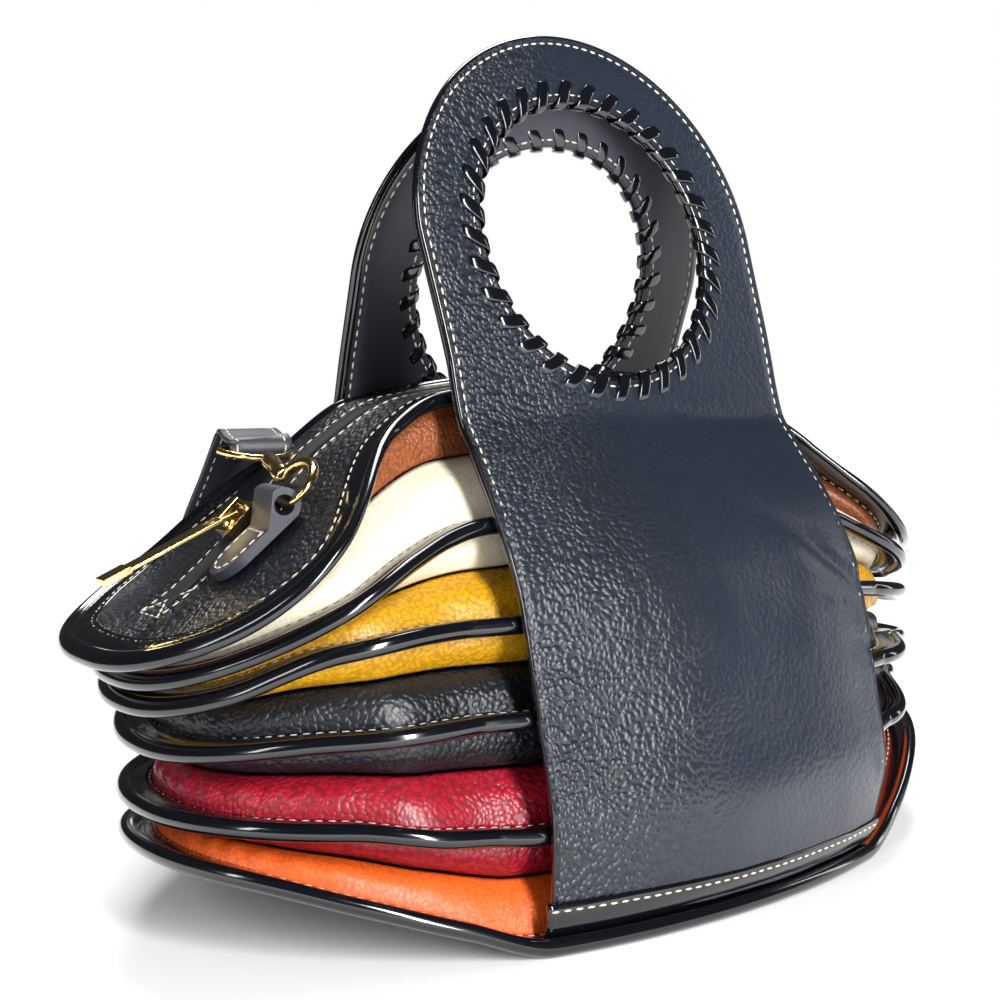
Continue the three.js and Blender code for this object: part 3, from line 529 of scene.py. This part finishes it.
# Each leather's second colour is the painted shade in its grain's creases
looks = {
    "navy": makeLeather("navyPebbled", (0.0105, 0.0155, 0.026), (0.002, 0.003, 0.005), 560, 0.62, 0.31, 0.1, fade=0.82),
    "black": makeLeather("blackPebbled", (0.008, 0.0105, 0.016), (0.002, 0.003, 0.004), 560, 0.4, 0.36, 0.1),
    "brown": makeLeather("tanBrown", (0.27, 0.075, 0.02), (0.13, 0.03, 0.007), 800, 0.22, 0.4),
    "cream": makeLeather("cream", (0.8, 0.73, 0.58), (0.68, 0.6, 0.45), 800, 0.07, 0.42),
    "mustard": makeLeather("mustard", (0.66, 0.34, 0.005), (0.36, 0.16, 0.002), 760, 0.2, 0.38),
    "red": makeLeather("deepRed", (0.36, 0.008, 0.024), (0.15, 0.003, 0.009), 620, 0.32, 0.32, 0.1),
    "orange": makeLeather("brightOrange", (0.86, 0.14, 0.016), (0.6, 0.07, 0.008), 900, 0.1, 0.42),
    "smooth": makeSmooth("smoothBlack", (0.019, 0.02, 0.031), 0.5, 0.08, 0.3, 0.08, 700.0),
    "patent": makeSmooth("patentBlack", (0.0025, 0.003, 0.005), 0.16, 0.6, 0.05, 0.12, 90.0),
    "thread": makeThread(),
    "gold": makeGold(),
    "tape": makeSmooth("zipTape", (0.012, 0.012, 0.015), 0.8, 0.0, 0.5, 0.1, 3000.0),
}
print("materials:", len(looks))


# Bindings: a glossy bead with a flat strip on both sides of the leaf, pleated where it turns round the ends

def bindingProfile():
    r, lift = binding["bead"], binding["stripLift"]
    end = 2 * r + binding["strip"]
    upper = [(r * (1 - cos(radians(a))), r * sin(radians(a)), 0) for a in range(0, 121, 15)]
    upper[-1] = (upper[-1][0], lift + 0.35, 0)
    upper += [(2 * r - 0.6, lift - 0.1, 0.2), (2 * r + 0.2, lift + 0.1, 1), (2 * r + 1.4, lift + 0.25, 1),
              (2 * r + 3, lift + 0.2, 1), (2 * r + 4.4, lift, 1), (end - 1.7, lift - 0.22, 1),
              (end - 0.8, lift - 0.05, 1), (end - 0.15, lift - 0.25, 0.6), (end, lift - 0.9, 0.2)]
    lower = [(inset, -up, pleat) for inset, up, pleat in reversed(upper[1:])]
    return upper + lower


def pleatAt(index, station, pleat):
    length = rim(index)[1]
    x = rim(index)[0][station % binding["stations"]][1].x
    turning = ease((abs(x) / body["halfLength"] - binding["pleatFrom"]) / binding["pleatOver"])
    wave = cos(2 * pi * round(length / binding["pleatPitch"]) * station / binding["stations"])
    return pleat * turning * binding["pleat"] * wave


def makeBinding(index):
    profile = bindingProfile()

    def place(column, row):
        inset, up, pleat = profile[row % len(profile)]
        wave = pleatAt(index, column, pleat)
        return rimPoint(index, column, inset, up + (copysign(wave, up) if up else 0))

    name = "binding_%d" % (index + 1)
    bm = wrapGrid(binding["stations"], len(profile), place, size=(rim(index)[1], 30))
    makePiece(name + "_strip", bm, [looks["patent"]], [name])
    seam = 2 * binding["bead"] + binding["strip"] - binding["seam"]
    for label, up in (("upper", 1), ("lower", -1)):
        lift = up * (binding["stripLift"] - 0.1)
        points = [rimPoint(index, i, seam, lift) for i in range(0, binding["stations"], 2)]
        normals = [Vector((0, 0, up))] * len(points)
        strokes = strokesAlong(points, normals, closed=True)
        makeStitches(name + "_stitches_" + label, strokes)


for leafIndex in range(len(leaves)):
    makeBinding(leafIndex)
print("bindings: 6")


# Leaf faces: soft leather from the strip in to the sewn valley, gathered at the ends

faceShape = {"rows": 16, "step": 2, "puff": 2.2, "gather": 0.9, "gatherPitch": 13.0, "gatherFrom": 0.62,
             "gatherOver": 0.25, "drift": 1.1, "driftSize": 26, "wander": 0.8, "wanderSize": 17, "wall": 1.1}


@lru_cache(None)
def faceEnds(index, valley, side, station):
    angle, _, out = rim(index)[0][station % binding["stations"]]
    start = rimPoint(index, station, 2 * binding["bead"] + binding["strip"] - 1, side * 0.75)
    end = valleyPoint(valley, angle, -side * body["gap"])
    normal = (end - start).cross(Vector((-out.y, out.x, 0))).normalized()
    if normal.dot(out * 0.5 + Vector((0, 0, side))) < 0:
        normal.negate()
    return start, end, normal


def facePoint(index, valley, side, station, row):
    start, end, normal = faceEnds(index, valley, side, station % binding["stations"])
    share = row / faceShape["rows"]
    p = start.lerp(end, share)
    ends = ease((abs(start.x) / body["halfLength"] - faceShape["gatherFrom"]) / faceShape["gatherOver"])
    size = faceShape["driftSize"]
    drift = noise(Vector((start.x / size, start.y / size, 3.1 * index + side))) * faceShape["drift"]
    pulled = sin(2 * pi * (station / binding["stations"] * rim(index)[1] / faceShape["gatherPitch"]) + 5 * drift)
    gathered = faceShape["gather"] * (0.25 + ends) * pulled * share * (1.15 - share * 0.6)
    size = faceShape["wanderSize"]
    wander = noise(Vector((p.x / size, p.y / size, p.z / size + 7 * index))) * faceShape["wander"]
    bulge = faceShape["puff"] * sin(pi * share) + (gathered + wander) * sin(pi * clamp(share * 1.15, 0, 1))
    return p + normal * bulge


def makeFaces(name, index, sides, look):
    columns = binding["stations"] // faceShape["step"]
    joined = bmesh.new()
    for side, valley in sides:
        def place(column, row):
            return facePoint(index, valley, side, column * faceShape["step"], row)

        bm = wrapGrid(columns, faceShape["rows"], place)
        bmesh.ops.solidify(bm, geom=bm.faces[:], thickness=faceShape["wall"] * metre)
        part = bpy.data.meshes.new("part")
        bm.to_mesh(part)
        bm.free()
        joined.from_mesh(part)
        bpy.data.meshes.remove(part)
    makePiece(name + "_faces", joined, [look], [name])


makeFaces("brown_leaf_face", 0, [(-1, 0)], looks["brown"])
makeFaces("cream_leaf", 1, [(1, 0), (-1, 1)], looks["cream"])
makeFaces("yellow_leaf", 2, [(1, 1), (-1, 2)], looks["mustard"])
makeFaces("black_leaf", 3, [(1, 2), (-1, 3)], looks["black"])
makeFaces("red_leaf", 4, [(1, 3), (-1, 4)], looks["red"])
makeFaces("orange_leaf_face", 5, [(1, 4)], looks["orange"])
print("leaf faces: 6")


# The top leaf: pebbled leather from the strip to a stadium slot for the zip

topLeaf = {"rows": 22, "slotLength": 145, "slotHalf": 3.9, "lift": 0.9, "wall": 1.2}


def topZ(x, y):
    return edgeHeight(0, x, clamp(y / (body["baseHalfDepth"] / 2), -1, 1)) + topLeaf["lift"]


def topPoint(station, row):
    angle = rim(0)[0][station % binding["stations"]][0]
    start = rimPoint(0, station, 2 * binding["bead"] + binding["strip"] - 1, 0)
    slotX = topLeaf["slotLength"] * copysign(abs(cos(angle)) ** 0.8, cos(angle))
    slotY = topLeaf["slotHalf"] * clamp(sin(angle) * 4, -1, 1)
    share = row / topLeaf["rows"]
    x, y = mix(start.x, slotX, share), mix(start.y, slotY, share)
    ripple = noise(Vector((x / 22, y / 16, 4))) * 0.9 + noise(Vector((x / 9, y / 9, 9))) * 0.3
    dip = -0.8 * exp(-((abs(y) - topLeaf["slotHalf"] - 5) / 3) ** 2)
    return Vector((x, y, topZ(x, y) + (ripple + dip) * sin(pi * share) ** 0.5))


def makeTopLeaf():
    bm = wrapGrid(binding["stations"] // 2, topLeaf["rows"], lambda column, row: topPoint(column * 2, row))
    bmesh.ops.solidify(bm, geom=bm.faces[:], thickness=topLeaf["wall"] * metre)
    makePiece("top_leaf_skin", bm, [looks["black"]], ["top_leaf"])


# Rows of stitches beside the zip, joined at its ends by a crossed tack
zipSeam = {"side": 6.6, "end": 149, "tack": 5.5, "tackPitch": 2.6, "spans": 90, "sink": 0.15}


def makeZipSeam():
    def at(x, y):
        return Vector((x, y, topZ(x, y) - zipSeam["sink"]))

    up = Vector((0, 0, 1))
    side, end, tack, spans = (zipSeam[key] for key in ("side", "end", "tack", "spans"))
    around = [(-end + i * 2 * end / spans, side) for i in range(spans + 1)]
    around += [(end - i * 2 * end / spans, -side) for i in range(spans + 1)]
    strokes = strokesAlong([at(x, y) for x, y in around], [up] * len(around), closed=True)
    for sign in (-1, 1):
        for slant in (-1, 1):
            a = at(sign * end, slant * side)
            b = at(sign * (end - 2 * tack), -slant * side)
            strokes += strokesAlong([a, b], [up, up], pitch=zipSeam["tackPitch"])
    makeStitches("zip_stitches", strokes)


makeTopLeaf()
makeZipSeam()
print("top leaf")


# Panels: two layers sewn round the edge, edges painted, the hole whipped with a thong

def panelOutline(ring, foot, inset=0.0):
    lean = ringLean(ring)
    radius = panel["ringRadius"] - inset
    half = panel["halfWidth"] - inset
    points = []
    rounding = panel["rounding"]
    left, right = Vector((-half, foot(-half))), Vector((half, foot(half)))
    for i in range(7):
        a = radians(270 - 15 * i)
        points.append(Vector((left.x + rounding * (1 + cos(a)), left.y + rounding * (1 + sin(a)))))
    points.append(Vector((-half, ring["height"] * 0.5)))
    points.append(Vector((-half, ring["height"] * 0.8)))
    for i in range(61):
        a = pi - pi * i / 60
        points.append(Vector((ring["shift"] + radius * cos(a), ring["height"] + radius * sin(a) * lean)))
    points.append(Vector((half, ring["height"] * 0.8)))
    points.append(Vector((half, ring["height"] * 0.5)))
    for i in range(7):
        a = radians(-15 * i)
        points.append(Vector((right.x - rounding * (1 - cos(a)), right.y + rounding * (1 + sin(a)))))
    for i in range(1, 13):
        x = mix(half - rounding, -half + rounding, i / 13)
        points.append(Vector((x, foot(x))))
    return points


def resample(points, count):
    points = points + points[:1]
    lengths = lengthsAlong(points)
    result = []
    for i in range(count):
        j, share = spanAt(lengths, lengths[-1] * i / count)
        result.append(points[j].lerp(points[j + 1], share))
    return result


def baseFoot(x):
    return edgeHeight(5, x, 0) - edgeHeight(5, 0, 0) + panel["foot"]


# Soft creases across a panel: middle along and up, half length, half width, depth and slant
panelCreases = [(8, 151, 34, 2.4, 0.7, 0.12), (18, 144, 30, 2.0, 0.5, 0.05), (-12, 158, 26, 2.6, 0.45, -0.1),
                (58, 98, 16, 3.2, 1.3, -0.5), (52, 88, 18, 2.6, 0.8, -0.3), (40, 112, 22, 3.0, 0.6, -0.2),
                (-38, 66, 26, 5.0, 0.9, 0.25), (-30, 84, 22, 4.0, 0.6, 0.3), (66, 70, 10, 3.5, 1.1, -0.2)]


# Small rises and hollows of the soft panel, in millimetres
def panelWaves(ring, x, z):
    low = noise(Vector((x / 34, z / 34, ring["side"] * 5))) * 1.1
    fine = noise(Vector((x / 11, z / 14, ring["side"] * 9 + 2))) * 0.28
    creased = 0
    for atX, atZ, reach, wide, deep, slant in panelCreases:
        across = z - atZ - slant * (x - atX) - 1.5 * sin(x / 9 + atZ)
        creased -= deep * exp(-(across / wide) ** 2 - ((x - atX) / reach) ** 2)
    return (low + fine) * ease((ring["height"] * 0.72 - z) / 40) + creased


def panelProfile(wall, edge):
    half = wall / 2
    hole = [("hole", 0, 0, 1), ("hole", edge * 0.35, half * 0.72, 1), ("hole", edge, half, 0)]
    seam = [("outer", d, half - dent, 0) for d, dent in
            ((14, 0), (10, 0), (7, 0), (5, 0.05), (4, 0.25), (3, 0.4), (2.2, 0.25), (1.6, 0.08))]
    spread = [("span", share, half, 0) for share in [i / 30 for i in range(1, 30)]]
    outer = [("outer", edge, half, 1), ("outer", edge * 0.35, half * 0.72, 1), ("outer", 0, 0, 1)]
    front = hole + spread + seam + outer
    back = [(kind, at, -lift, paint) for kind, at, lift, paint in reversed(front[1:-1])]
    return front + back


def makePanelSheet(ring, foot, inset, holeRadius, wall, middle, waves):
    outline = resample(panelOutline(ring, foot, inset), panel["columns"])
    lean = ringLean(ring)
    profile = panelProfile(wall, panel["paint"])
    centre = Vector((ring["shift"], ring["height"]))

    def place(column, row):
        outer = outline[column % panel["columns"]]
        kind, at, lift, paint = profile[row % len(profile)]
        toward = outer - centre
        angle = atan2(toward.y / lean, toward.x)
        inner = centre + Vector((holeRadius * cos(angle), holeRadius * sin(angle) * lean))
        span = (outer - inner).length
        way = (outer - inner).normalized()
        if kind == "hole":
            p = inner + way * at
        elif kind == "outer":
            p = outer - way * min(at, span * 0.6)
        else:
            p = inner + way * mix(panel["paint"], max(span - 15, span * 0.4), at)
        return panelPoint(ring, p.x, p.y, middle + lift + waves(ring, p.x, p.y))

    def painted(column, row):
        return profile[int(row) % len(profile)][3]

    return wrapGrid(panel["columns"], len(profile), place, group=painted), outline


def seamLine(ring, outline, inset, lift, waves):
    count = len(outline)
    points, normals = [], []
    for i, p in enumerate(outline):
        along = outline[(i + 1) % count] - outline[i - 1]
        inward = Vector((-along.y, along.x)).normalized()
        if inward.dot(Vector((ring["shift"], ring["height"] * 0.6)) - p) < 0:
            inward.negate()
        q = p + inward * inset
        base = panelPoint(ring, q.x, q.y, 0)
        points.append(panelPoint(ring, q.x, q.y, lift + waves(ring, q.x, q.y)))
        normals.append((panelPoint(ring, q.x, q.y, 5) - base).normalized() * copysign(1, lift))
    return points, normals


# The welt: the base binding's strip turned up against the panel's foot, with its own row of stitches
welt = {"columns": 90, "top": 6.5, "wall": 1.3, "half": 70.5, "inset": 4.2, "up": 1.6, "standOff": 0.5, "bend": 1.3,
        "bendPower": 0.7, "seam": 0.72, "seamSpans": 120}


def basePlace(side, x, inset, up):
    leaf = leaves[-1]
    end = 0 if x < 0 else 1
    c = min(abs(x) / (body["halfLength"] * leaf["reach"][end]), 1) ** (leaf["square"][end] / 2)
    angle = side * atan2((1 - c * c) ** 0.5, copysign(c, x))
    p = edgePoint(5, angle) - edgeOut(5, angle) * inset
    return Vector((p.x, p.y, edgeHeight(5, p.x, acrossAt(angle)) + up))


def weltPoint(ring, x, share, lift):
    low = basePlace(ring["side"], x, welt["inset"], welt["up"])
    z = edgeHeight(5, x, 0) + panel["foot"] + welt["top"]
    high = panelPoint(ring, clamp(x, -panel["halfWidth"], panel["halfWidth"]), z,
                      panel["wall"] / 2 + welt["standOff"] + panelWaves(ring, x, z))
    high.x = x
    out = Vector((0, ring["side"], 0.5)).normalized()
    bend = welt["bend"] * sin(pi * share) ** welt["bendPower"]
    return low.lerp(high, share) + out * (lift + bend)


def makeWelt(label, ring):
    half, wall = welt["half"], welt["wall"]
    section = [(0, 0), (0.3, 0), (0.6, 0), (0.85, -0.1), (1, -0.5), (1, -wall), (0.5, -wall), (0, -wall)]

    def place(column, row):
        share, lift = section[row % len(section)]
        return weltPoint(ring, mix(-half, half, column / welt["columns"]), share, lift)

    bm = wrapGrid(welt["columns"], len(section), place)
    closeEnds(bm)
    makePiece(label + "_foot_welt", bm, [looks["patent"]])
    xs = [mix(-half, half, i / welt["seamSpans"]) for i in range(welt["seamSpans"] + 1)]
    points = [weltPoint(ring, x, welt["seam"], 0.05) for x in xs]
    normals = [Vector((0, ring["side"], 0.5))] * len(points)
    makeStitches(label + "_foot_stitches", strokesAlong(points, normals))


def noWaves(ring, x, z):
    return 0


def makePanel(label, ring):
    bm, outline = makePanelSheet(ring, baseFoot, 0, panel["holeRadius"], panel["wall"], 0, panelWaves)
    makePiece(label + "_panel_leather", bm, [looks["navy"], looks["patent"]], [label + "_panel"])
    points, normals = seamLine(ring, outline, panel["seam"], panel["wall"] / 2 - 0.28, panelWaves)
    aboveWelt = welt["top"] + 9
    strokes = [stroke for stroke in strokesAlong(points, normals, closed=True) if stroke[0].z > aboveWelt]
    makeStitches(label + "_panel_stitches", strokes)
    foot = ring["height"] - panel["liningFoot"] * ringLean(ring)
    middle = -panel["wall"] / 2 - 2 * body["gap"] - panel["lining"] / 2
    bm, outline = makePanelSheet(ring, lambda x: foot, 1, panel["holeRadius"] + 0.6, panel["lining"], middle, noWaves)
    name = label + "_handle_lining"
    makePiece(name + "_skin", bm, [looks["smooth"], looks["patent"]], [name])
    points, normals = seamLine(ring, outline, panel["seam"], middle - panel["lining"] / 2 + 0.3, noWaves)
    strokes = strokesAlong(points, normals, closed=True)
    makeStitches(label + "_lining_stitches", strokes)


for label, ring in rings.items():
    makePanel(label, ring)
    makeWelt(label, ring)
print("panels: 2")


# Lacing: one flat thong whipped round the hole's edge, with a stitch line under the wraps

lacing = {"count": 33, "middle": 50, "width": 4.4, "wall": 1.0, "seamRadius": 49.2, "seamPitch": 3.3, "seamPoints": 240}
# Radius, lift off the panel's middle and share of the pitch, once round the edge
lacePath = [(54.4, -0.3, 0.0), (54.3, 0.9, 0.0), (53.5, 1.7, 0.02), (51.8, 2.05, 0.13), (49.6, 2.15, 0.26),
            (47.4, 2.05, 0.38), (45.6, 1.5, 0.48), (45.0, 0.5, 0.54), (45.0, -0.6, 0.6), (45.6, -1.9, 0.66),
            (47.4, -2.9, 0.72), (49.6, -3.1, 0.8), (51.8, -2.9, 0.89), (53.4, -2.3, 0.98), (54.2, -1.2, 1.0)]


def ringPlace(ring, radius, angle, lift):
    x = ring["shift"] + radius * cos(angle)
    return panelPoint(ring, x, ring["height"] + radius * sin(angle) * ringLean(ring), lift)


def makeLacing(label, ring):
    steps = len(lacePath)
    total = lacing["count"] * steps

    def middle(i):
        turn, step = divmod(i % total, steps)
        radius, lift, share = lacePath[step]
        return ringPlace(ring, radius, 2 * pi * (turn + 0.5 + share) / lacing["count"], lift)

    centres = [middle(i) for i in range(total)]
    section = [(-1, -0.35), (-0.7, -0.5), (0.7, -0.5), (1, -0.35), (1, 0.2), (0.55, 0.5), (-0.55, 0.5), (-1, 0.2)]

    def place(column, row):
        i = column % total
        turn, step = divmod(i, steps)
        angle = 2 * pi * (turn + 0.5 + lacePath[step][2]) / lacing["count"]
        along = (centres[(i + 1) % total] - centres[i - 1]).normalized()
        around = ringPlace(ring, lacing["middle"], angle + 0.02, 0) - ringPlace(ring, lacing["middle"], angle - 0.02, 0)
        wide = (around - along * around.dot(along)).normalized()
        thick = along.cross(wide).normalized()
        core = ringPlace(ring, lacing["middle"], angle, -0.2)
        if thick.dot(centres[i] - core) < 0:
            thick.negate()
        across, up = section[row % len(section)]
        narrow = 0.72 if step in (0, steps - 1) else 0.9 if step in (1, 2, steps - 2) else 1
        return centres[i] + wide * across * lacing["width"] / 2 * narrow + thick * up * lacing["wall"]

    bm = wrapGrid(total, len(section), place)
    piece = makePiece(label + "_lacing_thong", bm, [looks["patent"]], [label + "_lacing"])
    smooth = piece.modifiers.new("smooth", "SUBSURF")
    smooth.levels = smooth.render_levels = 1
    count, radius = lacing["seamPoints"], lacing["seamRadius"]
    for side, name in ((1, "outer"), (-1, "inner")):
        lift = panel["wall"] / 2 - 0.1 if side > 0 else -panel["wall"] / 2 - 1.7
        points = [ringPlace(ring, radius, 2 * pi * i / count, lift) for i in range(count)]
        normals = [(ringPlace(ring, radius, 2 * pi * i / count, lift + side) - points[i]) for i in range(count)]
        strokes = strokesAlong(points, normals, pitch=lacing["seamPitch"], closed=True)
        makeStitches(label + "_hole_stitches_" + name, strokes)


for label, ring in rings.items():
    makeLacing(label, ring)
print("lacings: 2")


# The base's underside, zip, hardware and tabs keep their solids, with softened edges

def dress(name, look, bevel=0.0, subdivide=0):
    node = nodes[name]
    node.data.materials.clear()
    node.data.materials.append(look)
    weld = node.modifiers.new("weld", "WELD")
    weld.merge_threshold = 2e-5
    if bevel:
        soft = node.modifiers.new("soft", "BEVEL")
        soft.width = bevel * metre
        soft.segments = 3
        soft.limit_method = "ANGLE"
        soft.angle_limit = radians(35)
        even = node.modifiers.new("even", "WEIGHTED_NORMAL")
        even.weight = 100
    if subdivide:
        smooth = node.modifiers.new("smooth", "SUBSURF")
        smooth.levels = smooth.render_levels = subdivide
    node.data.polygons.foreach_set("use_smooth", [True] * len(node.data.polygons))


# Stitches round the flat tongue of a tab, in its own frame
tab = {"length": 27, "half": 9.25, "inset": 2.2, "top": -1.85, "start": -9.5, "pitch": 3.2}
tabFrames = {
    "left_tab": {"origin": (-118.46, -19.89, 122.93), "along": (0.738, -0.130, 0.662), "up": (-0.652, 0.115, 0.749)},
    "right_tab": {"origin": (120.07, 14.50, 111.27), "along": (-0.937, 0, 0.350), "up": (0.350, 0, 0.937)},
}


def makeTabStitches(name, place):
    x = Vector(place["along"]).normalized()
    y = Vector(place["up"]).cross(x).normalized()
    z = x.cross(y)
    half = tab["half"] - tab["inset"]
    centre = tab["half"] - tab["length"]
    outline = [(tab["start"], half), (centre, half)]
    outline += [(centre + half * cos(radians(a)), half * sin(radians(a))) for a in range(105, 270, 15)]
    outline += [(centre, -half), (tab["start"], -half)]
    points = [Vector(place["origin"]) + x * u + y * v + z * tab["top"] for u, v in outline]
    strokes = strokesAlong(points, [z] * len(points), pitch=tab["pitch"], closed=True)
    makeStitches(name + "_stitches", strokes)


for name, place in tabFrames.items():
    makeTabStitches(name, place)
dress("base_panel", looks["black"])
dress("zip_tape", looks["tape"])
dress("zip_slider", looks["gold"], 0.35)
dress("zip_pull", looks["gold"], 0.3)
dress("left_tab", looks["smooth"], 0.5)
dress("right_tab", looks["smooth"], 0.5)
for name in ("clasp_hook", "clasp_gate", "clasp_eye", "right_clasp"):
    dress(name, looks["gold"], subdivide=2)
print("hardware")


# The strap: folded round the left eye's bar, over the far rim, down behind the bag and up to the right eye

strap = {"width": 20, "wall": 1.8, "wrap": 2.4, "leftYaw": -14, "seam": 2.4, "columns": 420,
         "bars": {"left": (-102.15, 25.34, 136.74), "right": (120.07, 62.26, 126.12)}}
# The ends fold round their bars: out and up, as shares of the wrap
strapFolds = {"left": [(0.5, -1.2), (-1, -0.9), (-1.5, 0), (-1, 0.9), (0.5, 1.2)],
              "right": [(1.6, -1.5), (1.3, 0), (0.9, 1), (-0.9, 1), (-1.3, 0), (-0.9, -1.3)]}
# Along, out and up, as shares of half length, half depth and height, and how far the strap has turned
strapRun = [
    (-0.58, 0.43, 0.878, 0), (-0.585, 0.48, 0.84, 0), (-0.59, 0.545, 0.785, 0), (-0.595, 0.61, 0.735, 0),
    (-0.6, 0.675, 0.68, 0), (-0.605, 0.8, 0.56, 0.05), (-0.62, 0.9, 0.4, 0.3), (-0.63, 0.99, 0.2, 0.7),
    (-0.6, 1.08, 0.06, 1), (-0.5, 1.12, 0.004, 1), (-0.2, 1.13, 0, 1), (0.2, 1.13, 0, 1), (0.5, 1.12, 0.004, 1),
    (0.61, 1.1, 0.06, 1), (0.65, 1.02, 0.2, 0.7), (0.65, 0.95, 0.38, 0.3), (0.63, 0.87, 0.55, 0.05),
]


def strapStations():
    def fold(end, yaw):
        bar, wrap = Vector(strap["bars"][end]), strap["wrap"]
        across = Vector((cos(radians(yaw)), sin(radians(yaw)), 0))
        return [(bar + Vector((0, out * wrap, up * wrap)), across) for out, up in strapFolds[end]]

    stations = fold("left", strap["leftYaw"])
    for along, out, up, turned in strapRun:
        at = Vector((along * body["halfLength"], out * body["baseHalfDepth"],
                     up * body["height"] + strap["wall"] / 2))
        stations.append((at, Vector((cos(turned * pi / 2), sin(turned * pi / 2), 0))))
    return stations + fold("right", 0)


def smoothAlong(stations, count):
    lengths = lengthsAlong([at for at, _ in stations])
    result = []
    for i in range(count + 1):
        j, t = spanAt(lengths, lengths[-1] * i / count)
        p = [stations[clamp(j + k, 0, len(stations) - 1)] for k in (-1, 0, 1, 2)]
        blend = (-0.5 * t + t * t - 0.5 * t ** 3, 1 - 2.5 * t * t + 1.5 * t ** 3,
                 0.5 * t + 2 * t * t - 1.5 * t ** 3, -0.5 * t * t + 0.5 * t ** 3)
        at = sum((q[0] * w for q, w in zip(p, blend)), Vector())
        result.append((at, p[1][1].lerp(p[2][1], t).normalized()))
    return result


def makeStrap():
    count = strap["columns"]
    line = smoothAlong(strapStations(), count)
    half, thick = strap["width"] / 2, strap["wall"] / 2
    section = [(-half, -thick * 0.5), (-half + 0.6, -thick), (half - 0.6, -thick), (half, -thick * 0.5),
               (half, thick * 0.5), (half - 0.6, thick), (half - 2.4, thick * 0.8), (half - 5, thick),
               (-half + 5, thick), (-half + 2.4, thick * 0.8), (-half + 0.6, thick), (-half, thick * 0.5)]
    frames = []
    for i in range(count + 1):
        along = (line[min(i + 1, count)][0] - line[max(i - 1, 0)][0]).normalized()
        wide = (line[i][1] - along * line[i][1].dot(along)).normalized()
        frames.append((line[i][0], wide, along.cross(wide).normalized() * -1))

    def place(column, row):
        at, wide, up = frames[column]
        across, lift = section[row % len(section)]
        return at + wide * across + up * lift

    bm = wrapGrid(count, len(section), place)
    closeEnds(bm)
    makePiece("strap_leather", bm, [looks["smooth"]], ["strap"])
    reach = half - strap["seam"]
    strokes = []
    for side in (-1, 1):
        for face in (-1, 1):
            points = [at + wide * side * reach + up * face * thick * 0.92 for at, wide, up in frames]
            strokes += strokesAlong(points, [up * face for _, _, up in frames])
    makeStitches("strap_stitches", strokes)


makeStrap()
print("strap")


# Floor, light and surroundings

def makeStage():
    bm = bmesh.new()
    bmesh.ops.create_grid(bm, x_segments=1, y_segments=1, size=3.0)
    mesh = bpy.data.meshes.new("floor")
    bm.to_mesh(mesh)
    bm.free()
    floor = bpy.data.objects.new("floor", mesh)
    bpy.context.scene.collection.objects.link(floor)
    mesh.materials.append(newMaterial("paleFloor", (0.95, 0.95, 0.95), 0.8)[0])


lights = [
    {"name": "frontSoftbox", "place": (-0.16, -1.25, 0.6), "aim": (-0.05, -0.05, 0.12), "size": (0.24, 1.1),
     "power": 32},
    {"name": "leftSoftbox", "place": (-1.3, -0.3, 0.7), "aim": (0, 0, 0.1), "size": (0.14, 0.7), "power": 4},
    {"name": "rightSoftbox", "place": (1.4, -0.5, 0.5), "aim": (0, 0, 0.12), "size": (0.12, 0.8), "power": 2},
]
sky = {"strength": 3.3, "spread": 34, "turn": (-26, 16), "world": 0.3, "mirrored": 0.04}


def makeLights():
    for light in lights:
        data = bpy.data.lights.new(light["name"], "AREA")
        data.shape = "RECTANGLE"
        data.size, data.size_y = light["size"]
        data.energy = light["power"]
        lamp = bpy.data.objects.new(light["name"], data)
        lamp.location = light["place"]
        way = Vector(light["aim"]) - Vector(light["place"])
        lamp.rotation_euler = way.to_track_quat("-Z", "Y").to_euler()
        bpy.context.scene.collection.objects.link(lamp)
    data = bpy.data.lights.new("overhead", "SUN")
    data.energy = sky["strength"]
    data.angle = radians(sky["spread"])
    lamp = bpy.data.objects.new("overhead", data)
    lamp.rotation_euler = (radians(sky["turn"][0]), radians(sky["turn"][1]), 0)
    bpy.context.scene.collection.objects.link(lamp)
    world = bpy.data.worlds.new("paleRoom")
    world.use_nodes = True
    tree = world.node_tree
    ground = tree.nodes["Background"]
    ground.inputs["Color"].default_value = (1, 1, 1, 1)
    bright = tree.nodes.new("ShaderNodeBackground")
    bright.inputs["Color"].default_value = (1, 1, 1, 1)
    path = tree.nodes.new("ShaderNodeLightPath")
    tree.links.new(mathNode(tree, "MULTIPLY_ADD", path.outputs["Is Glossy Ray"], sky["mirrored"] - sky["world"],
                            sky["world"]), ground.inputs["Strength"])
    choose = tree.nodes.new("ShaderNodeMixShader")
    tree.links.new(path.outputs["Is Camera Ray"], choose.inputs["Fac"])
    tree.links.new(ground.outputs[0], choose.inputs[1])
    tree.links.new(bright.outputs[0], choose.inputs[2])
    tree.links.new(choose.outputs[0], tree.nodes["World Output"].inputs["Surface"])
    bpy.context.scene.world = world
    bpy.context.scene.view_settings.view_transform = "Standard"


makeCamera()
makeStage()
makeLights()
print("camera, floor and lights")
